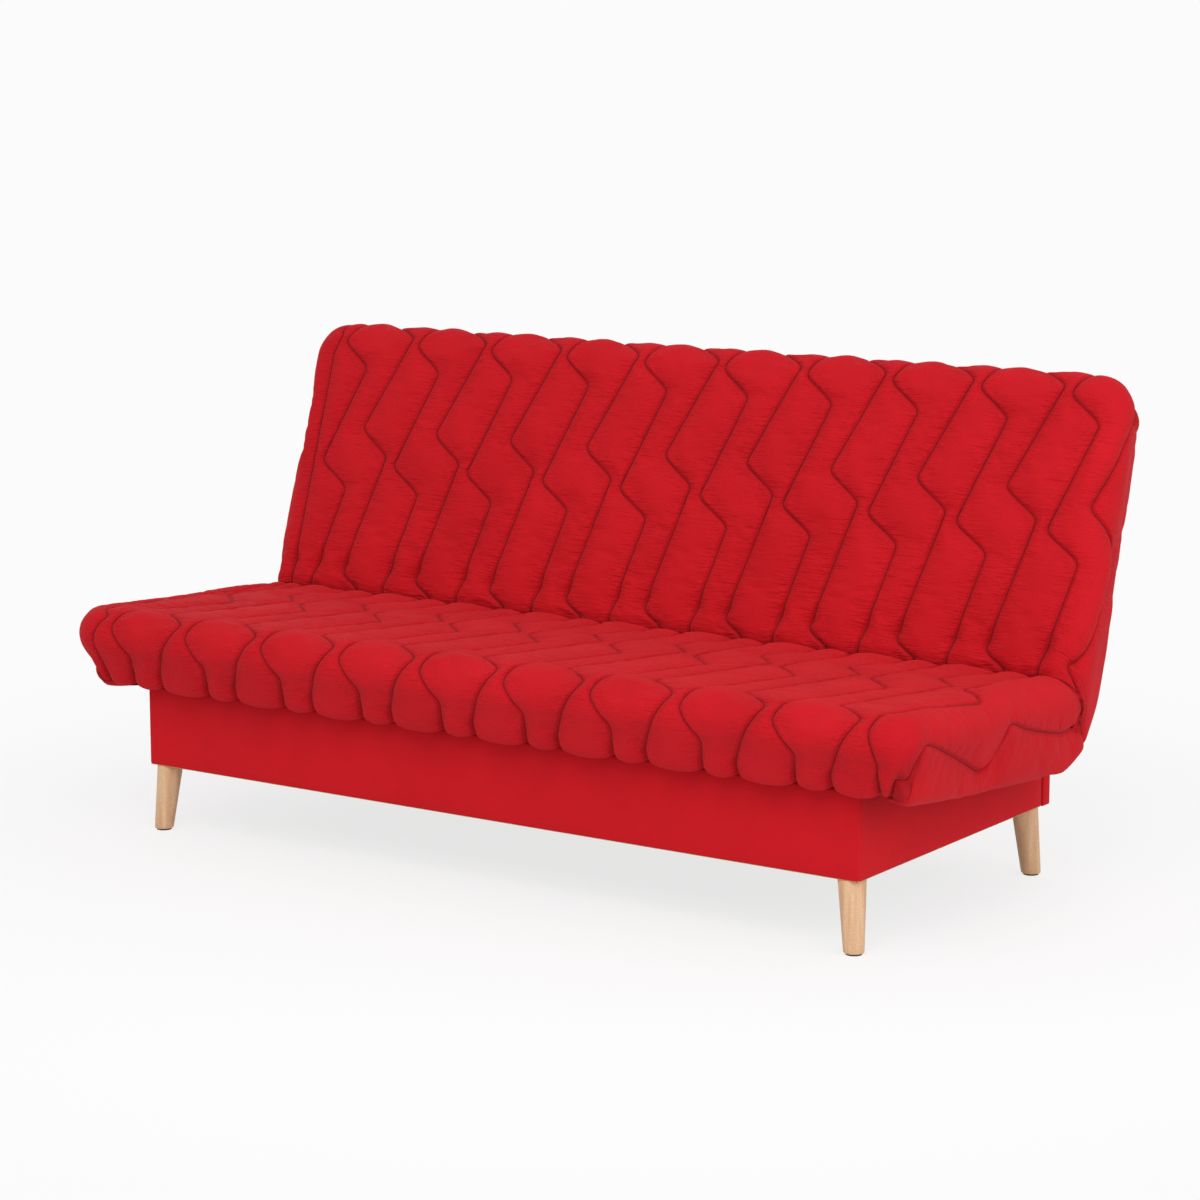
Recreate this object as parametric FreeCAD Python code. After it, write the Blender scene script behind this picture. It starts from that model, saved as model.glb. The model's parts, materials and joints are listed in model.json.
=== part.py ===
"""Click clack sofa bed: a storage base, a lifting chassis, folding links, a seat half and a back half.

Millimetres, Z up, X along the sofa's length, Y from its front to its rear.
While it is modelled, y = 0 is the front face of the base box. At the end everything moves
along Y, so that the origin is under the middle of the object.
"""
import FreeCAD
import Part
import math
import os

Vec = FreeCAD.Vector

# Everything along X follows the mattress cover's length
cover_length = 1930.0
cover_past_box = 138.0
cover_past_frame = 60.0
hem_pull = 45.0

# Base box
box_depth = 726.0
box_bottom = 136.0
front_panel_top = 285.0
panel_top = 245.0
panel_thickness = 18.0
rear_panel_thickness = 26.0
fabric_thickness = 1.5
rear_slot = 4.0
floor_thickness = 6.0
batten_height = 14.0
batten_width = 20.0
block_size = 58.0
block_height = 54.0
ledge_height = 16.0
ledge_width = 24.0
ledge_rest_gap = 0.3

# Legs
leg_top_diameter = 52.0
leg_foot_diameter = 38.0
leg_inset_x = 30.0
leg_inset_y = 28.0
leg_splay_x = 12.0
leg_splay_y = 11.0
leg_rear_margin = 17.0
leg_sides = 24
leg_plate_side = 56.0
leg_plate_thickness = 3.0
glide_diameter = 30.0
glide_thickness = 3.0

# The fold: where the seat half and the back half turn, and how they stand
pivot_y = 648.5
pivot_z = 269.0
seat_slope = 3.0
back_lean = 18.3
bed_pivot_y = 375.0
lever_drop = 105.0

# Mattress, cover and frames, measured from the fold pivot along each half and up from it
top_height = 150.0
widest_height = 95.0
edge_radius = 45.0
plan_radius = 62.0
cover_thickness = 12.0
seat_reach = 745.0
seat_pull = 66.0
seat_hem = -5.0
back_reach = 696.0
back_pull = 25.0
back_hem = 8.0
fold_hem_reach = 142.0
fold_hem = -31.0
fold_corner = 42.0
widest_bend = 8.0
hem_bend = 6.0
fold_hem_bend = 12.0
skirt_bottom = -95.0
foam_bottom = 40.0
fold_clearance = 0.5

# Sewn channels of the quilting. A line's points are (share of the reach, pitches from the middle)
quilt_pitches = 10
channel_depth = 8.0
channel_half_width = 7.0
channel_lid = 1.0
seat_lines = (
    ((0.13, -0.78), (0.35, -1.06), (0.44, -0.70), (0.895, -0.88), (1.02, -0.44)),
    ((0.13, -0.42), (0.47, -0.54), (0.58, -0.11), (1.02, -0.38)),
)
back_lines = (
    ((0.15, -0.78), (0.21, -1.02), (0.585, -0.68), (0.66, -1.09), (0.96, -0.62), (1.02, -0.85)),
    ((0.15, -0.42), (0.48, -0.17), (0.55, -0.58), (0.855, -0.18), (0.93, -0.55), (1.02, -0.50)),
)

# Steel tube frames of the two halves
tube = 25.0
tube_wall = 1.5
tube_base = 2.5
frame_near = 60.0
seat_frame_margin = 80.0
back_frame_margin = 46.0
rail_start = 45.0

# Slats
middle_slat_count = 12
slat_width = 53.0
slat_thickness = 8.0
slat_crown = 6.0
slat_rest_gap = 0.3
holder_length = 34.0
holder_wall = 2.2
holder_back = 4.0
holder_slot = 10.0

# Hinge plates, links and pins, counted outwards from the middle along X
plate_thickness = 5.0
plate_gap = 1.0
link_gap = 1.5
link_thickness = 5.0
bracket_gap = 0.5
bracket_thickness = 4.0
pin_diameter = 12.0
running_clearance = 0.05
pin_end = 1.2
link_eye = 16.0
front_pin_reach = 330.0
open_eye_play = 4.8
link_bar_diameter = 20.0
link_bar_share = 0.45

# Ratchet
ratchet_radius = 34.0
tooth_depth = 4.5
tooth_count = 14
ratchet_from = 92.0
ratchet_to = 196.0
plate_disc = 28.0
plate_arm = 150.0
plate_arm_slant = 40.0
plate_arm_edge = 6.0
pawl_reach = 70.0
pawl_thickness = 4.0
pawl_clearance = 0.4
pawl_pin_diameter = 8.0
pawl_height = -9.5
pawl_eye = 9.0
pawl_tail = 26.0
pawl_nose_length = 12.0

# Chassis and lift hinge
chassis_front = 58.0
chassis_base = 210.0
chassis_rear_gap = 5.0
chassis_side_gap = 1.5
bracket_start = 120.0
bracket_end = 570.0
bracket_ear = 17.0
ear_spread = 37.0
ear_corner = 15.0
post_size = 21.0
buffer_height = 9.0
buffer_gap = 0.3
hinge_length = 1200.0
knuckle_count = 6
knuckle_gap = 1.0
knuckle_radius = 4.5
leaf_gap = 0.4
hinge_play = 0.8
hinge_pin_diameter = 5.0
hinge_leaf = 2.0

# Values that follow from the sizes above
half_cover = cover_length / 2
half_box = half_cover - cover_past_box
half_frame = half_cover - cover_past_frame
side_inner = half_box - fabric_thickness - panel_thickness
front_inner = fabric_thickness + panel_thickness
rear_inner = box_depth - fabric_thickness - rear_panel_thickness
side_end = rear_inner - rear_slot
floor_base = box_bottom + batten_height
floor_top = floor_base + floor_thickness
fold_angle = 90.0 + back_lean - seat_slope
bisector = math.radians(fold_angle / 2)
crease_reach = top_height / math.tan(bisector)
chassis_x = side_inner - chassis_side_gap - tube
bracket_x = chassis_x - bracket_thickness
link_x = bracket_x - bracket_gap - link_thickness
seat_plate_x = link_x - link_gap - plate_thickness
back_plate_x = seat_plate_x - plate_gap - plate_thickness
seat_rail_x = seat_plate_x - tube
back_rail_x = back_plate_x - tube
chassis_top = chassis_base + tube
chassis_rear = rear_inner - chassis_rear_gap


def seat_point(reach, height):
    """A point of the seat half at rest, as (y, z)."""
    slope = math.radians(seat_slope)
    y = pivot_y - reach * math.cos(slope) + height * math.sin(slope)
    z = pivot_z + reach * math.sin(slope) + height * math.cos(slope)
    return y, z


def seat_rest_height():
    """Height of the seat rail's underside above the middle of the front rest post."""
    post_middle = chassis_front + tube / 2
    reach = (pivot_y - post_middle) / math.cos(math.radians(seat_slope))
    return seat_point(reach, tube_base)[1]


def circle_centre(first, second, third):
    """Centre of the circle through three points."""
    (ax, ay), (bx, by), (cx, cy) = first, second, third
    twice_area = 2 * (ax * (by - cy) + bx * (cy - ay) + cx * (ay - by))
    a2, b2, c2 = ax * ax + ay * ay, bx * bx + by * by, cx * cx + cy * cy
    x = (a2 * (by - cy) + b2 * (cy - ay) + c2 * (ay - by)) / twice_area
    y = (a2 * (cx - bx) + b2 * (ax - cx) + c2 * (bx - ax)) / twice_area
    return x, y


def turned_angle(centre, start, end):
    """Degrees from start to end about centre."""
    a = math.atan2(start[1] - centre[1], start[0] - centre[0])
    b = math.atan2(end[1] - centre[1], end[0] - centre[0])
    return math.degrees(b - a)


# The bed position sits on the same rest posts as the seat does
bed_pivot_z = seat_rest_height() - tube_base
swing_span = math.hypot(pivot_y - bed_pivot_y, bed_pivot_z - pivot_z)
swing_middle = ((pivot_y + bed_pivot_y) / 2, (pivot_z + bed_pivot_z) / 2)
span_y = (bed_pivot_y - pivot_y) / swing_span
span_z = (bed_pivot_z - pivot_z) / swing_span
lever_pivot = (swing_middle[0] - lever_drop * span_z, swing_middle[1] + lever_drop * span_y)
swing_range = turned_angle(lever_pivot, (pivot_y, pivot_z), (bed_pivot_y, bed_pivot_z))
pin_height = tube_base + tube / 2


def front_pin(share):
    """Place of the seat's front link pin after a share of the swing."""
    turn = math.radians(swing_range * share)
    arm_y = pivot_y - lever_pivot[0]
    arm_z = pivot_z - lever_pivot[1]
    y = lever_pivot[0] + arm_y * math.cos(turn) - arm_z * math.sin(turn)
    z = lever_pivot[1] + arm_y * math.sin(turn) + arm_z * math.cos(turn)
    slope = math.radians(seat_slope * (1 - share))
    pin_y = y - front_pin_reach * math.cos(slope) + pin_height * math.sin(slope)
    pin_z = z + front_pin_reach * math.sin(slope) + pin_height * math.cos(slope)
    return pin_y, pin_z


front_pivot = circle_centre(front_pin(0), front_pin(0.5), front_pin(1))
front_range = turned_angle(front_pivot, front_pin(0), front_pin(1))
hinge_y = rear_inner - knuckle_radius - hinge_play
hinge_z = chassis_top + knuckle_radius + hinge_play


def block(x0, x1, y0, y1, z0, z1):
    """A plain board or bar between two corners."""
    return Part.makeBox(x1 - x0, y1 - y0, z1 - z0, Vec(x0, y0, z0))


def rod(radius, x0, x1, y, z):
    """A round bar along X."""
    return Part.makeCylinder(radius, x1 - x0, Vec(x0, y, z), Vec(1, 0, 0))


def mirrored(shape):
    """The same piece on the other end of the sofa."""
    return shape.mirror(Vec(0, 0, 0), Vec(1, 0, 0))


def both(shape):
    """A left piece and a right piece, as separate solids."""
    return Part.makeCompound([shape, mirrored(shape)])


def square_tube(x0, x1, y0, y1, z0, z1, along):
    """A hollow square tube that is open at both ends."""
    outer = block(x0, x1, y0, y1, z0, z1)
    gap = {"x": tube_wall, "y": tube_wall, "z": tube_wall}
    gap[along] = -1.0
    inner = block(
        x0 + gap["x"], x1 - gap["x"], y0 + gap["y"], y1 - gap["y"], z0 + gap["z"], z1 - gap["z"]
    )
    return outer.cut(inner)


def outline(corners, place):
    """A closed wire through corners (a, b, radius); place(a, b) turns each into a 3-D point."""
    edges = []
    ends = []
    count = len(corners)
    for i, (a, b, radius) in enumerate(corners):
        here = Vec(a, b, 0)
        before = Vec(corners[i - 1][0], corners[i - 1][1], 0) - here
        after = Vec(corners[(i + 1) % count][0], corners[(i + 1) % count][1], 0) - here
        if radius <= 0:
            ends.append((here, None, here))
            continue
        half = before.getAngle(after) / 2
        before.normalize()
        after.normalize()
        setback = radius / math.tan(half)
        to_middle = (before + after).normalize() * (radius / math.sin(half) - radius)
        ends.append((here + before * setback, here + to_middle, here + after * setback))
    flat = [[place(p.x, p.y) if p is not None else None for p in end] for end in ends]
    for i, (start, middle, end) in enumerate(flat):
        if middle is not None:
            edges.append(Part.Arc(start, middle, end).toShape())
        following = flat[(i + 1) % count][0]
        if (following - end).Length > 1e-6:
            edges.append(Part.LineSegment(end, following).toShape())
    return Part.Wire(edges)


def side_profile(corners, x0, x1, way):
    """A profile of (reach, height, radius) corners, drawn along X. way is -1 on the seat half."""
    wire = outline(corners, lambda a, b: Vec(x0, way * a, b))
    return Part.Face(wire).extrude(Vec(x1 - x0, 0, 0))


def plate(corners, x0, thickness):
    """A steel plate across X, from (y, z, radius) corners."""
    wire = outline(corners, lambda a, b: Vec(x0, a, b))
    return Part.Face(wire).extrude(Vec(thickness, 0, 0))


def on_seat(shape):
    """Turn a piece of the seat half from flat to its slope, at the fold pivot."""
    placed = shape.copy()
    placed.rotate(Vec(0, 0, 0), Vec(1, 0, 0), -seat_slope)
    placed.translate(Vec(0, pivot_y, pivot_z))
    return placed


def on_back(shape):
    """Turn a piece of the back half from flat to its lean, at the fold pivot."""
    placed = shape.copy()
    placed.rotate(Vec(0, 0, 0), Vec(1, 0, 0), 90.0 - back_lean)
    placed.translate(Vec(0, pivot_y, pivot_z))
    return placed


def base_boards():
    """The base's boards, with the fabric that is stapled round them."""
    pieces = {}
    pieces["front_panel"] = block(
        -side_inner - panel_thickness, side_inner + panel_thickness,
        fabric_thickness, front_inner, box_bottom, front_panel_top,
    )
    side = block(
        side_inner, side_inner + panel_thickness, front_inner, side_end, box_bottom, panel_top
    )
    pieces["side_panel_right"] = side
    pieces["side_panel_left"] = mirrored(side)
    pieces["rear_panel"] = block(
        -half_box, half_box, rear_inner, rear_inner + rear_panel_thickness, box_bottom, panel_top
    )
    pieces["front_fabric"] = block(
        -half_box, half_box, 0, fabric_thickness, box_bottom, front_panel_top
    )
    pieces["side_fabrics"] = both(
        block(
            half_box - fabric_thickness, half_box, fabric_thickness, side_end,
            box_bottom, panel_top,
        )
    )
    pieces["rear_fabric"] = block(
        -half_box, half_box, box_depth - fabric_thickness, box_depth, box_bottom, panel_top
    )
    return pieces


def base_inside():
    """Floor, battens, corner blocks and the ledges that the chassis lies on."""
    pieces = {}
    pieces["storage_floor"] = floor_board()
    batten_end = side_inner - block_size
    pieces["floor_battens"] = Part.makeCompound([
        block(-batten_end, batten_end, front_inner, front_inner + batten_width,
              box_bottom, floor_base),
        block(-batten_end, batten_end, rear_inner - batten_width, rear_inner,
              box_bottom, floor_base),
        block(-batten_width / 2, batten_width / 2, front_inner + batten_width,
              rear_inner - batten_width, box_bottom, floor_base),
    ])
    pieces["corner_blocks"] = corner_blocks()
    ledge = block(
        side_inner - ledge_width, side_inner,
        front_inner + block_size, rear_inner - block_size,
        chassis_base - ledge_rest_gap - ledge_height, chassis_base - ledge_rest_gap,
    )
    pieces["chassis_ledges"] = both(ledge)
    return pieces


def leg_ends(front):
    """Middle of a right leg at its top and at its foot, as two (x, y) pairs."""
    outward = -1 if front else 1
    top_y = leg_inset_y if front else box_depth - leg_inset_y - leg_rear_margin
    top = (half_box - leg_inset_x, top_y)
    foot = (top[0] + leg_splay_x, top_y + outward * leg_splay_y)
    return top, foot


def many_sided(centre, radius, height):
    """Corners of the many-sided ring that stands for a circle."""
    corners = []
    for i in range(leg_sides):
        angle = 2 * math.pi * i / leg_sides
        corners.append(
            Vec(centre[0] + radius * math.cos(angle), centre[1] + radius * math.sin(angle), height)
        )
    return corners


def between_rings(low, high):
    """A solid with flat sides between two rings of the same number of corners."""
    faces = [Part.Face(Part.makePolygon(ring + [ring[0]])) for ring in (low, high)]
    for i in range(leg_sides):
        a, b, c, d = low[i - 1], low[i], high[i], high[i - 1]
        faces.append(Part.Face(Part.makePolygon([a, b, c, d, a])))
    solid = Part.makeSolid(Part.makeShell(faces))
    if solid.Volume < 0:
        solid.reverse()
    return solid


def corner_blocks():
    """Four glued blocks inside the corners, which the leg plates are screwed to."""
    solids = []
    for near in (front_inner, rear_inner - block_size):
        solids.append(block(
            side_inner - block_size, side_inner, near, near + block_size,
            box_bottom + leg_plate_thickness, box_bottom + block_height,
        ))
    return both_many(solids)


def floor_board():
    """The board at the bottom of the storage, notched round the corner blocks."""
    board = block(-side_inner, side_inner, front_inner, rear_inner, floor_base, floor_top)
    side_gap = block(side_inner - 1, side_inner, side_end, rear_inner, floor_base, floor_top)
    board = board.cut(both(side_gap))
    for near in (front_inner, rear_inner - block_size):
        notch = block(side_inner - block_size, side_inner, near, near + block_size,
                      floor_base, floor_top)
        board = board.cut(both(notch))
    return board


def legs():
    """Tapered round beech legs with their plates and foot glides."""
    pieces = {}
    plates = []
    glides = []
    for front, name in ((True, "leg_front"), (False, "leg_rear")):
        top, foot = leg_ends(front)
        share = glide_thickness / box_bottom
        foot = [foot[i] + (top[i] - foot[i]) * share for i in range(2)]
        low = many_sided(foot, leg_foot_diameter / 2, glide_thickness)
        high = many_sided(top, leg_top_diameter / 2, box_bottom)
        leg = between_rings(low, high)
        pieces[name + "_right"] = leg
        pieces[name + "_left"] = mirrored(leg)
        outer_x = min(top[0] + leg_plate_side / 2, side_inner)
        y0 = front_inner if front else rear_inner - leg_plate_side
        plates.append(block(outer_x - leg_plate_side, outer_x, y0, y0 + leg_plate_side,
                            box_bottom, box_bottom + leg_plate_thickness))
        glides.append(between_rings(
            many_sided(foot, glide_diameter / 2, 0),
            many_sided(foot, glide_diameter / 2, glide_thickness),
        ))
    pieces["leg_plates"] = both_many(plates)
    pieces["foot_glides"] = both_many(glides)
    return pieces


def knuckles(first):
    """Every other knuckle of the lift hinge, starting at the first or the second."""
    step = hinge_length / knuckle_count
    solid = None
    for i in range(first, knuckle_count, 2):
        x0 = -hinge_length / 2 + i * step + knuckle_gap / 2
        piece = rod(knuckle_radius, x0, x0 + step - knuckle_gap, hinge_y, hinge_z)
        neck = knuckle_neck(first, x0, x0 + step - knuckle_gap)
        piece = piece.fuse(neck)
        solid = piece if solid is None else solid.fuse(piece)
    return solid


def knuckle_neck(first, x0, x1):
    """The strip that runs from a leaf to its knuckle."""
    if first == 0:
        rise = block(x0, x1, rear_inner - hinge_leaf, rear_inner,
                     hinge_z - knuckle_radius - leaf_gap, hinge_z)
        return rise.fuse(block(x0, x1, hinge_y, rear_inner, hinge_z - hinge_leaf, hinge_z))
    reach = hinge_y - knuckle_radius - leaf_gap
    return block(x0, x1, reach, hinge_y, chassis_top, chassis_top + hinge_leaf)


def lift_hinge():
    """The long hinge along the rear of the box, on which the whole bed lifts."""
    half = hinge_length / 2
    bore = rod(hinge_pin_diameter / 2 + running_clearance, -half, half, hinge_y, hinge_z)
    box_leaf = block(-half, half, rear_inner - hinge_leaf, rear_inner,
                     chassis_base, hinge_z - knuckle_radius - leaf_gap)
    box_leaf = box_leaf.fuse(knuckles(0)).cut(bore).removeSplitter()
    moving_leaf = block(-half, half, chassis_rear - tube, hinge_y - knuckle_radius - leaf_gap,
                        chassis_top, chassis_top + hinge_leaf)
    moving_leaf = moving_leaf.fuse(knuckles(1)).cut(bore).removeSplitter()
    pin = rod(hinge_pin_diameter / 2, -half, half, hinge_y, hinge_z)
    return {"hinge_leaf_box": box_leaf, "hinge_leaf_chassis": moving_leaf, "hinge_pin_lift": pin}


def ear(pivot, x0, thickness, top):
    """A bracket ear: wide where it joins the tube, with rounded corners below its pivot."""
    y, z = pivot
    corners = [
        (y - ear_spread, top, 0), (y - bracket_ear, z - bracket_ear, ear_corner),
        (y + bracket_ear, z - bracket_ear, ear_corner), (y + ear_spread, top, 0),
    ]
    return plate(corners, x0, thickness)


def chassis():
    """The square tube chassis that lies in the box and carries the links."""
    pieces = {}
    z0, z1 = chassis_base, chassis_top
    side = square_tube(chassis_x, chassis_x + tube, chassis_front, chassis_rear, z0, z1, "y")
    pieces["chassis_side_right"] = side
    pieces["chassis_side_left"] = mirrored(side)
    pieces["chassis_front_tube"] = square_tube(
        -chassis_x, chassis_x, chassis_front, chassis_front + tube, z0, z1, "x"
    )
    pieces["chassis_rear_tube"] = square_tube(
        -chassis_x, chassis_x, chassis_rear - tube, chassis_rear, z0, z1, "x"
    )
    bracket = block(bracket_x, chassis_x, bracket_start, bracket_end, z0, z1)
    for pivot in (lever_pivot, front_pivot):
        bracket = bracket.fuse(ear(pivot, bracket_x, bracket_thickness, z1))
    for y, z in (lever_pivot, front_pivot):
        bracket = bracket.fuse(rod(pin_diameter / 2, link_x - pin_end, bracket_x, y, z))
    bracket = bracket.removeSplitter()
    pieces["pivot_bracket_right"] = bracket
    pieces["pivot_bracket_left"] = mirrored(bracket)
    pieces.update(rests())
    return pieces


def both_many(solids):
    """Several right pieces and their left copies, as separate solids."""
    return Part.makeCompound(solids + [mirrored(s) for s in solids])


def rests():
    """Posts with rubber caps: the seat lies on the front ones and the flat back on the rear ones."""
    posts = []
    caps = []
    rest_z = seat_rest_height() - buffer_gap
    inset = (tube - post_size) / 2
    for rail_x, y0 in ((seat_rail_x, chassis_front), (back_rail_x, chassis_rear - tube)):
        x0 = rail_x + inset
        near = y0 + inset
        posts.append(block(x0, x0 + post_size, near, near + post_size,
                           chassis_top, rest_z - buffer_height))
        cap = block(x0, x0 + post_size, near, near + post_size, rest_z - buffer_height, rest_z)
        if y0 == chassis_front:
            cap = slanted_cap(cap)
        caps.append(cap)
    return {"rest_posts": both_many(posts), "rest_buffers": both_many(caps)}


def slanted_cap(cap):
    """Trim a front cap to the seat's slope, so that the rail lies flat on it."""
    under = tube_base - buffer_gap
    low = side_profile(
        [(0, skirt_bottom, 0), (seat_reach, skirt_bottom, 0), (seat_reach, under, 0), (0, under, 0)],
        0, half_box, -1,
    )
    return cap.common(on_seat(low))


def link_plate(pivot, far, eye, bore):
    """A flat steel link with chamfered ends. eye and bore are the radii at its far end."""
    length = math.hypot(far[0] - pivot[0], far[1] - pivot[1])
    cut = math.tan(math.pi / 8)
    body = plate([
        (-link_eye, -link_eye * cut, 0), (-link_eye, link_eye * cut, 0),
        (-link_eye * cut, link_eye, 0), (length + eye * cut, eye, 0),
        (length + eye, eye * cut, 0), (length + eye, -eye * cut, 0),
        (length + eye * cut, -eye, 0), (-link_eye * cut, -link_eye, 0),
    ], link_x, link_thickness)
    body = body.cut(rod(pin_diameter / 2 + running_clearance, link_x - 1, chassis_x, 0, 0))
    if bore > 0:
        body = body.cut(rod(bore, link_x - 1, chassis_x, length, 0))
    angle = math.degrees(math.atan2(far[1] - pivot[1], far[0] - pivot[0]))
    body.rotate(Vec(0, 0, 0), Vec(1, 0, 0), angle)
    body.translate(Vec(0, pivot[0], pivot[1]))
    return body


def links():
    """Two pairs of links: the rear pair carries the fold, the front pair steadies the seat."""
    pieces = {}
    fold = (pivot_y, pivot_z)
    rear = link_plate(lever_pivot, fold, link_eye, 0)
    fold_pin = rod(pin_diameter / 2, back_plate_x - pin_end, link_x, pivot_y, pivot_z)
    rear = rear.fuse(fold_pin).removeSplitter()
    pieces["rear_link_right"] = rear
    pieces["rear_link_left"] = mirrored(rear)
    bar_y = lever_pivot[0] + (fold[0] - lever_pivot[0]) * link_bar_share
    bar_z = lever_pivot[1] + (fold[1] - lever_pivot[1]) * link_bar_share
    pieces["rear_link_bar"] = rod(link_bar_diameter / 2, -link_x, link_x, bar_y, bar_z)
    bore = pin_diameter / 2 + open_eye_play
    front = link_plate(front_pivot, front_pin(0), link_eye + open_eye_play, bore)
    pieces["front_link_right"] = front
    pieces["front_link_left"] = mirrored(front)
    return pieces


def half_outline(reach, pull, hem, inset):
    """The cover's section from the fold to its free end, as (reach, height, radius) corners."""
    corner = (fold_corner * math.cos(bisector), fold_corner * math.sin(bisector))
    top = top_height - inset
    if inset == 0:
        return [
            (crease_reach, top, 0), (reach, top, edge_radius), (reach, widest_height, widest_bend),
            (reach - pull, hem, hem_bend), (fold_hem_reach, fold_hem, fold_hem_bend),
            (corner[0], corner[1], 0),
        ]
    fall = pull / (widest_height - hem)
    end = reach - inset - (widest_height - skirt_bottom) * fall
    return [
        (-crease_reach, top, 0), (reach - inset, top, edge_radius - inset),
        (reach - inset, widest_height, widest_bend), (end, skirt_bottom, 0),
        (-crease_reach, skirt_bottom, 0),
    ]


def envelope(way, reach, pull, hem, inset):
    """A rounded half mattress form: one section along X, one end view and one plan, in common."""
    section = side_profile(half_outline(reach, pull, hem, inset), -half_cover, half_cover, way)
    taper = hem_pull / (widest_height - fold_hem)
    wide = half_cover - inset
    narrow = wide - (widest_height - skirt_bottom) * taper
    top = top_height - inset
    ends = [
        (-wide, widest_height, widest_bend), (-wide, top, edge_radius - inset),
        (wide, top, edge_radius - inset), (wide, widest_height, widest_bend),
        (narrow, skirt_bottom, 0), (-narrow, skirt_bottom, 0),
    ]
    wire = outline(ends, lambda a, b: Vec(a, -2 * reach, b))
    end_view = Part.Face(wire).extrude(Vec(0, 4 * reach, 0))
    far = reach - inset
    plan = [
        (-wide, -2 * crease_reach, 0), (-wide, far, plan_radius - inset),
        (wide, far, plan_radius - inset), (wide, -2 * crease_reach, 0),
    ]
    wire = outline(plan, lambda a, b: Vec(a, way * b, 2 * skirt_bottom))
    plan_view = Part.Face(wire).extrude(Vec(0, 0, 2 * (top_height - skirt_bottom)))
    return section.common(end_view).common(plan_view)


def side_steps(line):
    """At each point of a line of (x, reach), the way to its right that keeps its width."""
    steps = []
    for i, here in enumerate(line):
        before = line[max(i - 1, 0)]
        after = line[min(i + 1, len(line) - 1)]
        normals = []
        for start, end in ((before, here), (here, after)):
            run = math.hypot(end[0] - start[0], end[1] - start[1])
            if run > 0:
                normals.append(((end[1] - start[1]) / run, (start[0] - end[0]) / run))
        first, last = normals[0], normals[-1]
        share = 1 / (1 + first[0] * last[0] + first[1] * last[1])
        steps.append(((first[0] + last[0]) * share, (first[1] + last[1]) * share))
    return steps


def channel(line, way):
    """A sewn channel's groove: flat walls that meet below the line, open above the cover."""
    wide = channel_half_width * (channel_depth + channel_lid) / channel_depth
    lid = top_height + channel_lid
    left, right, bottom = [], [], []
    for (x, reach), (over_x, over_y) in zip(line, side_steps(line)):
        left.append(Vec(x - wide * over_x, way * (reach - wide * over_y), lid))
        right.append(Vec(x + wide * over_x, way * (reach + wide * over_y), lid))
        bottom.append(Vec(x, way * reach, top_height - channel_depth))
    faces = []
    for i in range(len(line) - 1):
        for low, high in ((left, bottom), (bottom, right), (right, left)):
            corners = [low[i], low[i + 1], high[i + 1], high[i], low[i]]
            faces.append(Part.Face(Part.makePolygon(corners)))
    for i in (0, -1):
        faces.append(Part.Face(Part.makePolygon([left[i], right[i], bottom[i], left[i]])))
    solid = Part.makeSolid(Part.makeShell(faces))
    if solid.Volume < 0:
        solid.reverse()
    return solid


def quilting(way, reach, lines):
    """The grooves of every sewn line that runs over the top of a half."""
    pitch = cover_length / quilt_pitches
    grooves = []
    for number in range(quilt_pitches):
        for line in lines:
            middle = (number - quilt_pitches / 2 + 1) * pitch
            points = [(middle + step * pitch, share * reach) for share, step in line]
            if min(x for x, _ in points) > edge_radius - half_cover:
                grooves.append(channel(points, way))
    return grooves


def fold_half_space(way, clearance):
    """Everything on this half's side of the fold bisector."""
    shift = clearance / math.sin(bisector)
    far = 2 * seat_reach
    high = 2 * top_height
    low = 2 * skirt_bottom
    return side_profile(
        [(low / math.tan(bisector) + shift, low, 0), (far, low, 0), (far, high, 0),
         (high / math.tan(bisector) + shift, high, 0)],
        -cover_length, cover_length, way,
    )


def soft_half(way, reach, pull, hem, lines):
    """Foam half and the cover half round it, both cut at the fold bisector."""
    outer = envelope(way, reach, pull, hem, 0).common(fold_half_space(way, fold_clearance))
    inner = envelope(way, reach, pull, hem, cover_thickness)
    cover = outer.cut(inner)
    for groove in quilting(way, reach, lines):
        cover = cover.cut(groove)
    above = block(-half_cover, half_cover, -2 * reach, 2 * reach, foam_bottom, 2 * top_height)
    foam = inner.common(above).common(fold_half_space(way, fold_clearance))
    return foam, cover


def slat_band(x0, x1, way, start, end):
    """A bent slat, highest in its middle."""
    mid = (start + end) / 2
    high = foam_bottom - slat_rest_gap
    low = high - slat_thickness
    drop = slat_crown

    def at(reach, height):
        return Vec(x0, way * reach, height)

    edges = [
        Part.Arc(at(start, high - drop), at(mid, high), at(end, high - drop)).toShape(),
        Part.LineSegment(at(end, high - drop), at(end, low - drop)).toShape(),
        Part.Arc(at(end, low - drop), at(mid, low), at(start, low - drop)).toShape(),
        Part.LineSegment(at(start, low - drop), at(start, high - drop)).toShape(),
    ]
    return Part.Face(Part.Wire(edges)).extrude(Vec(x1 - x0, 0, 0))


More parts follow.
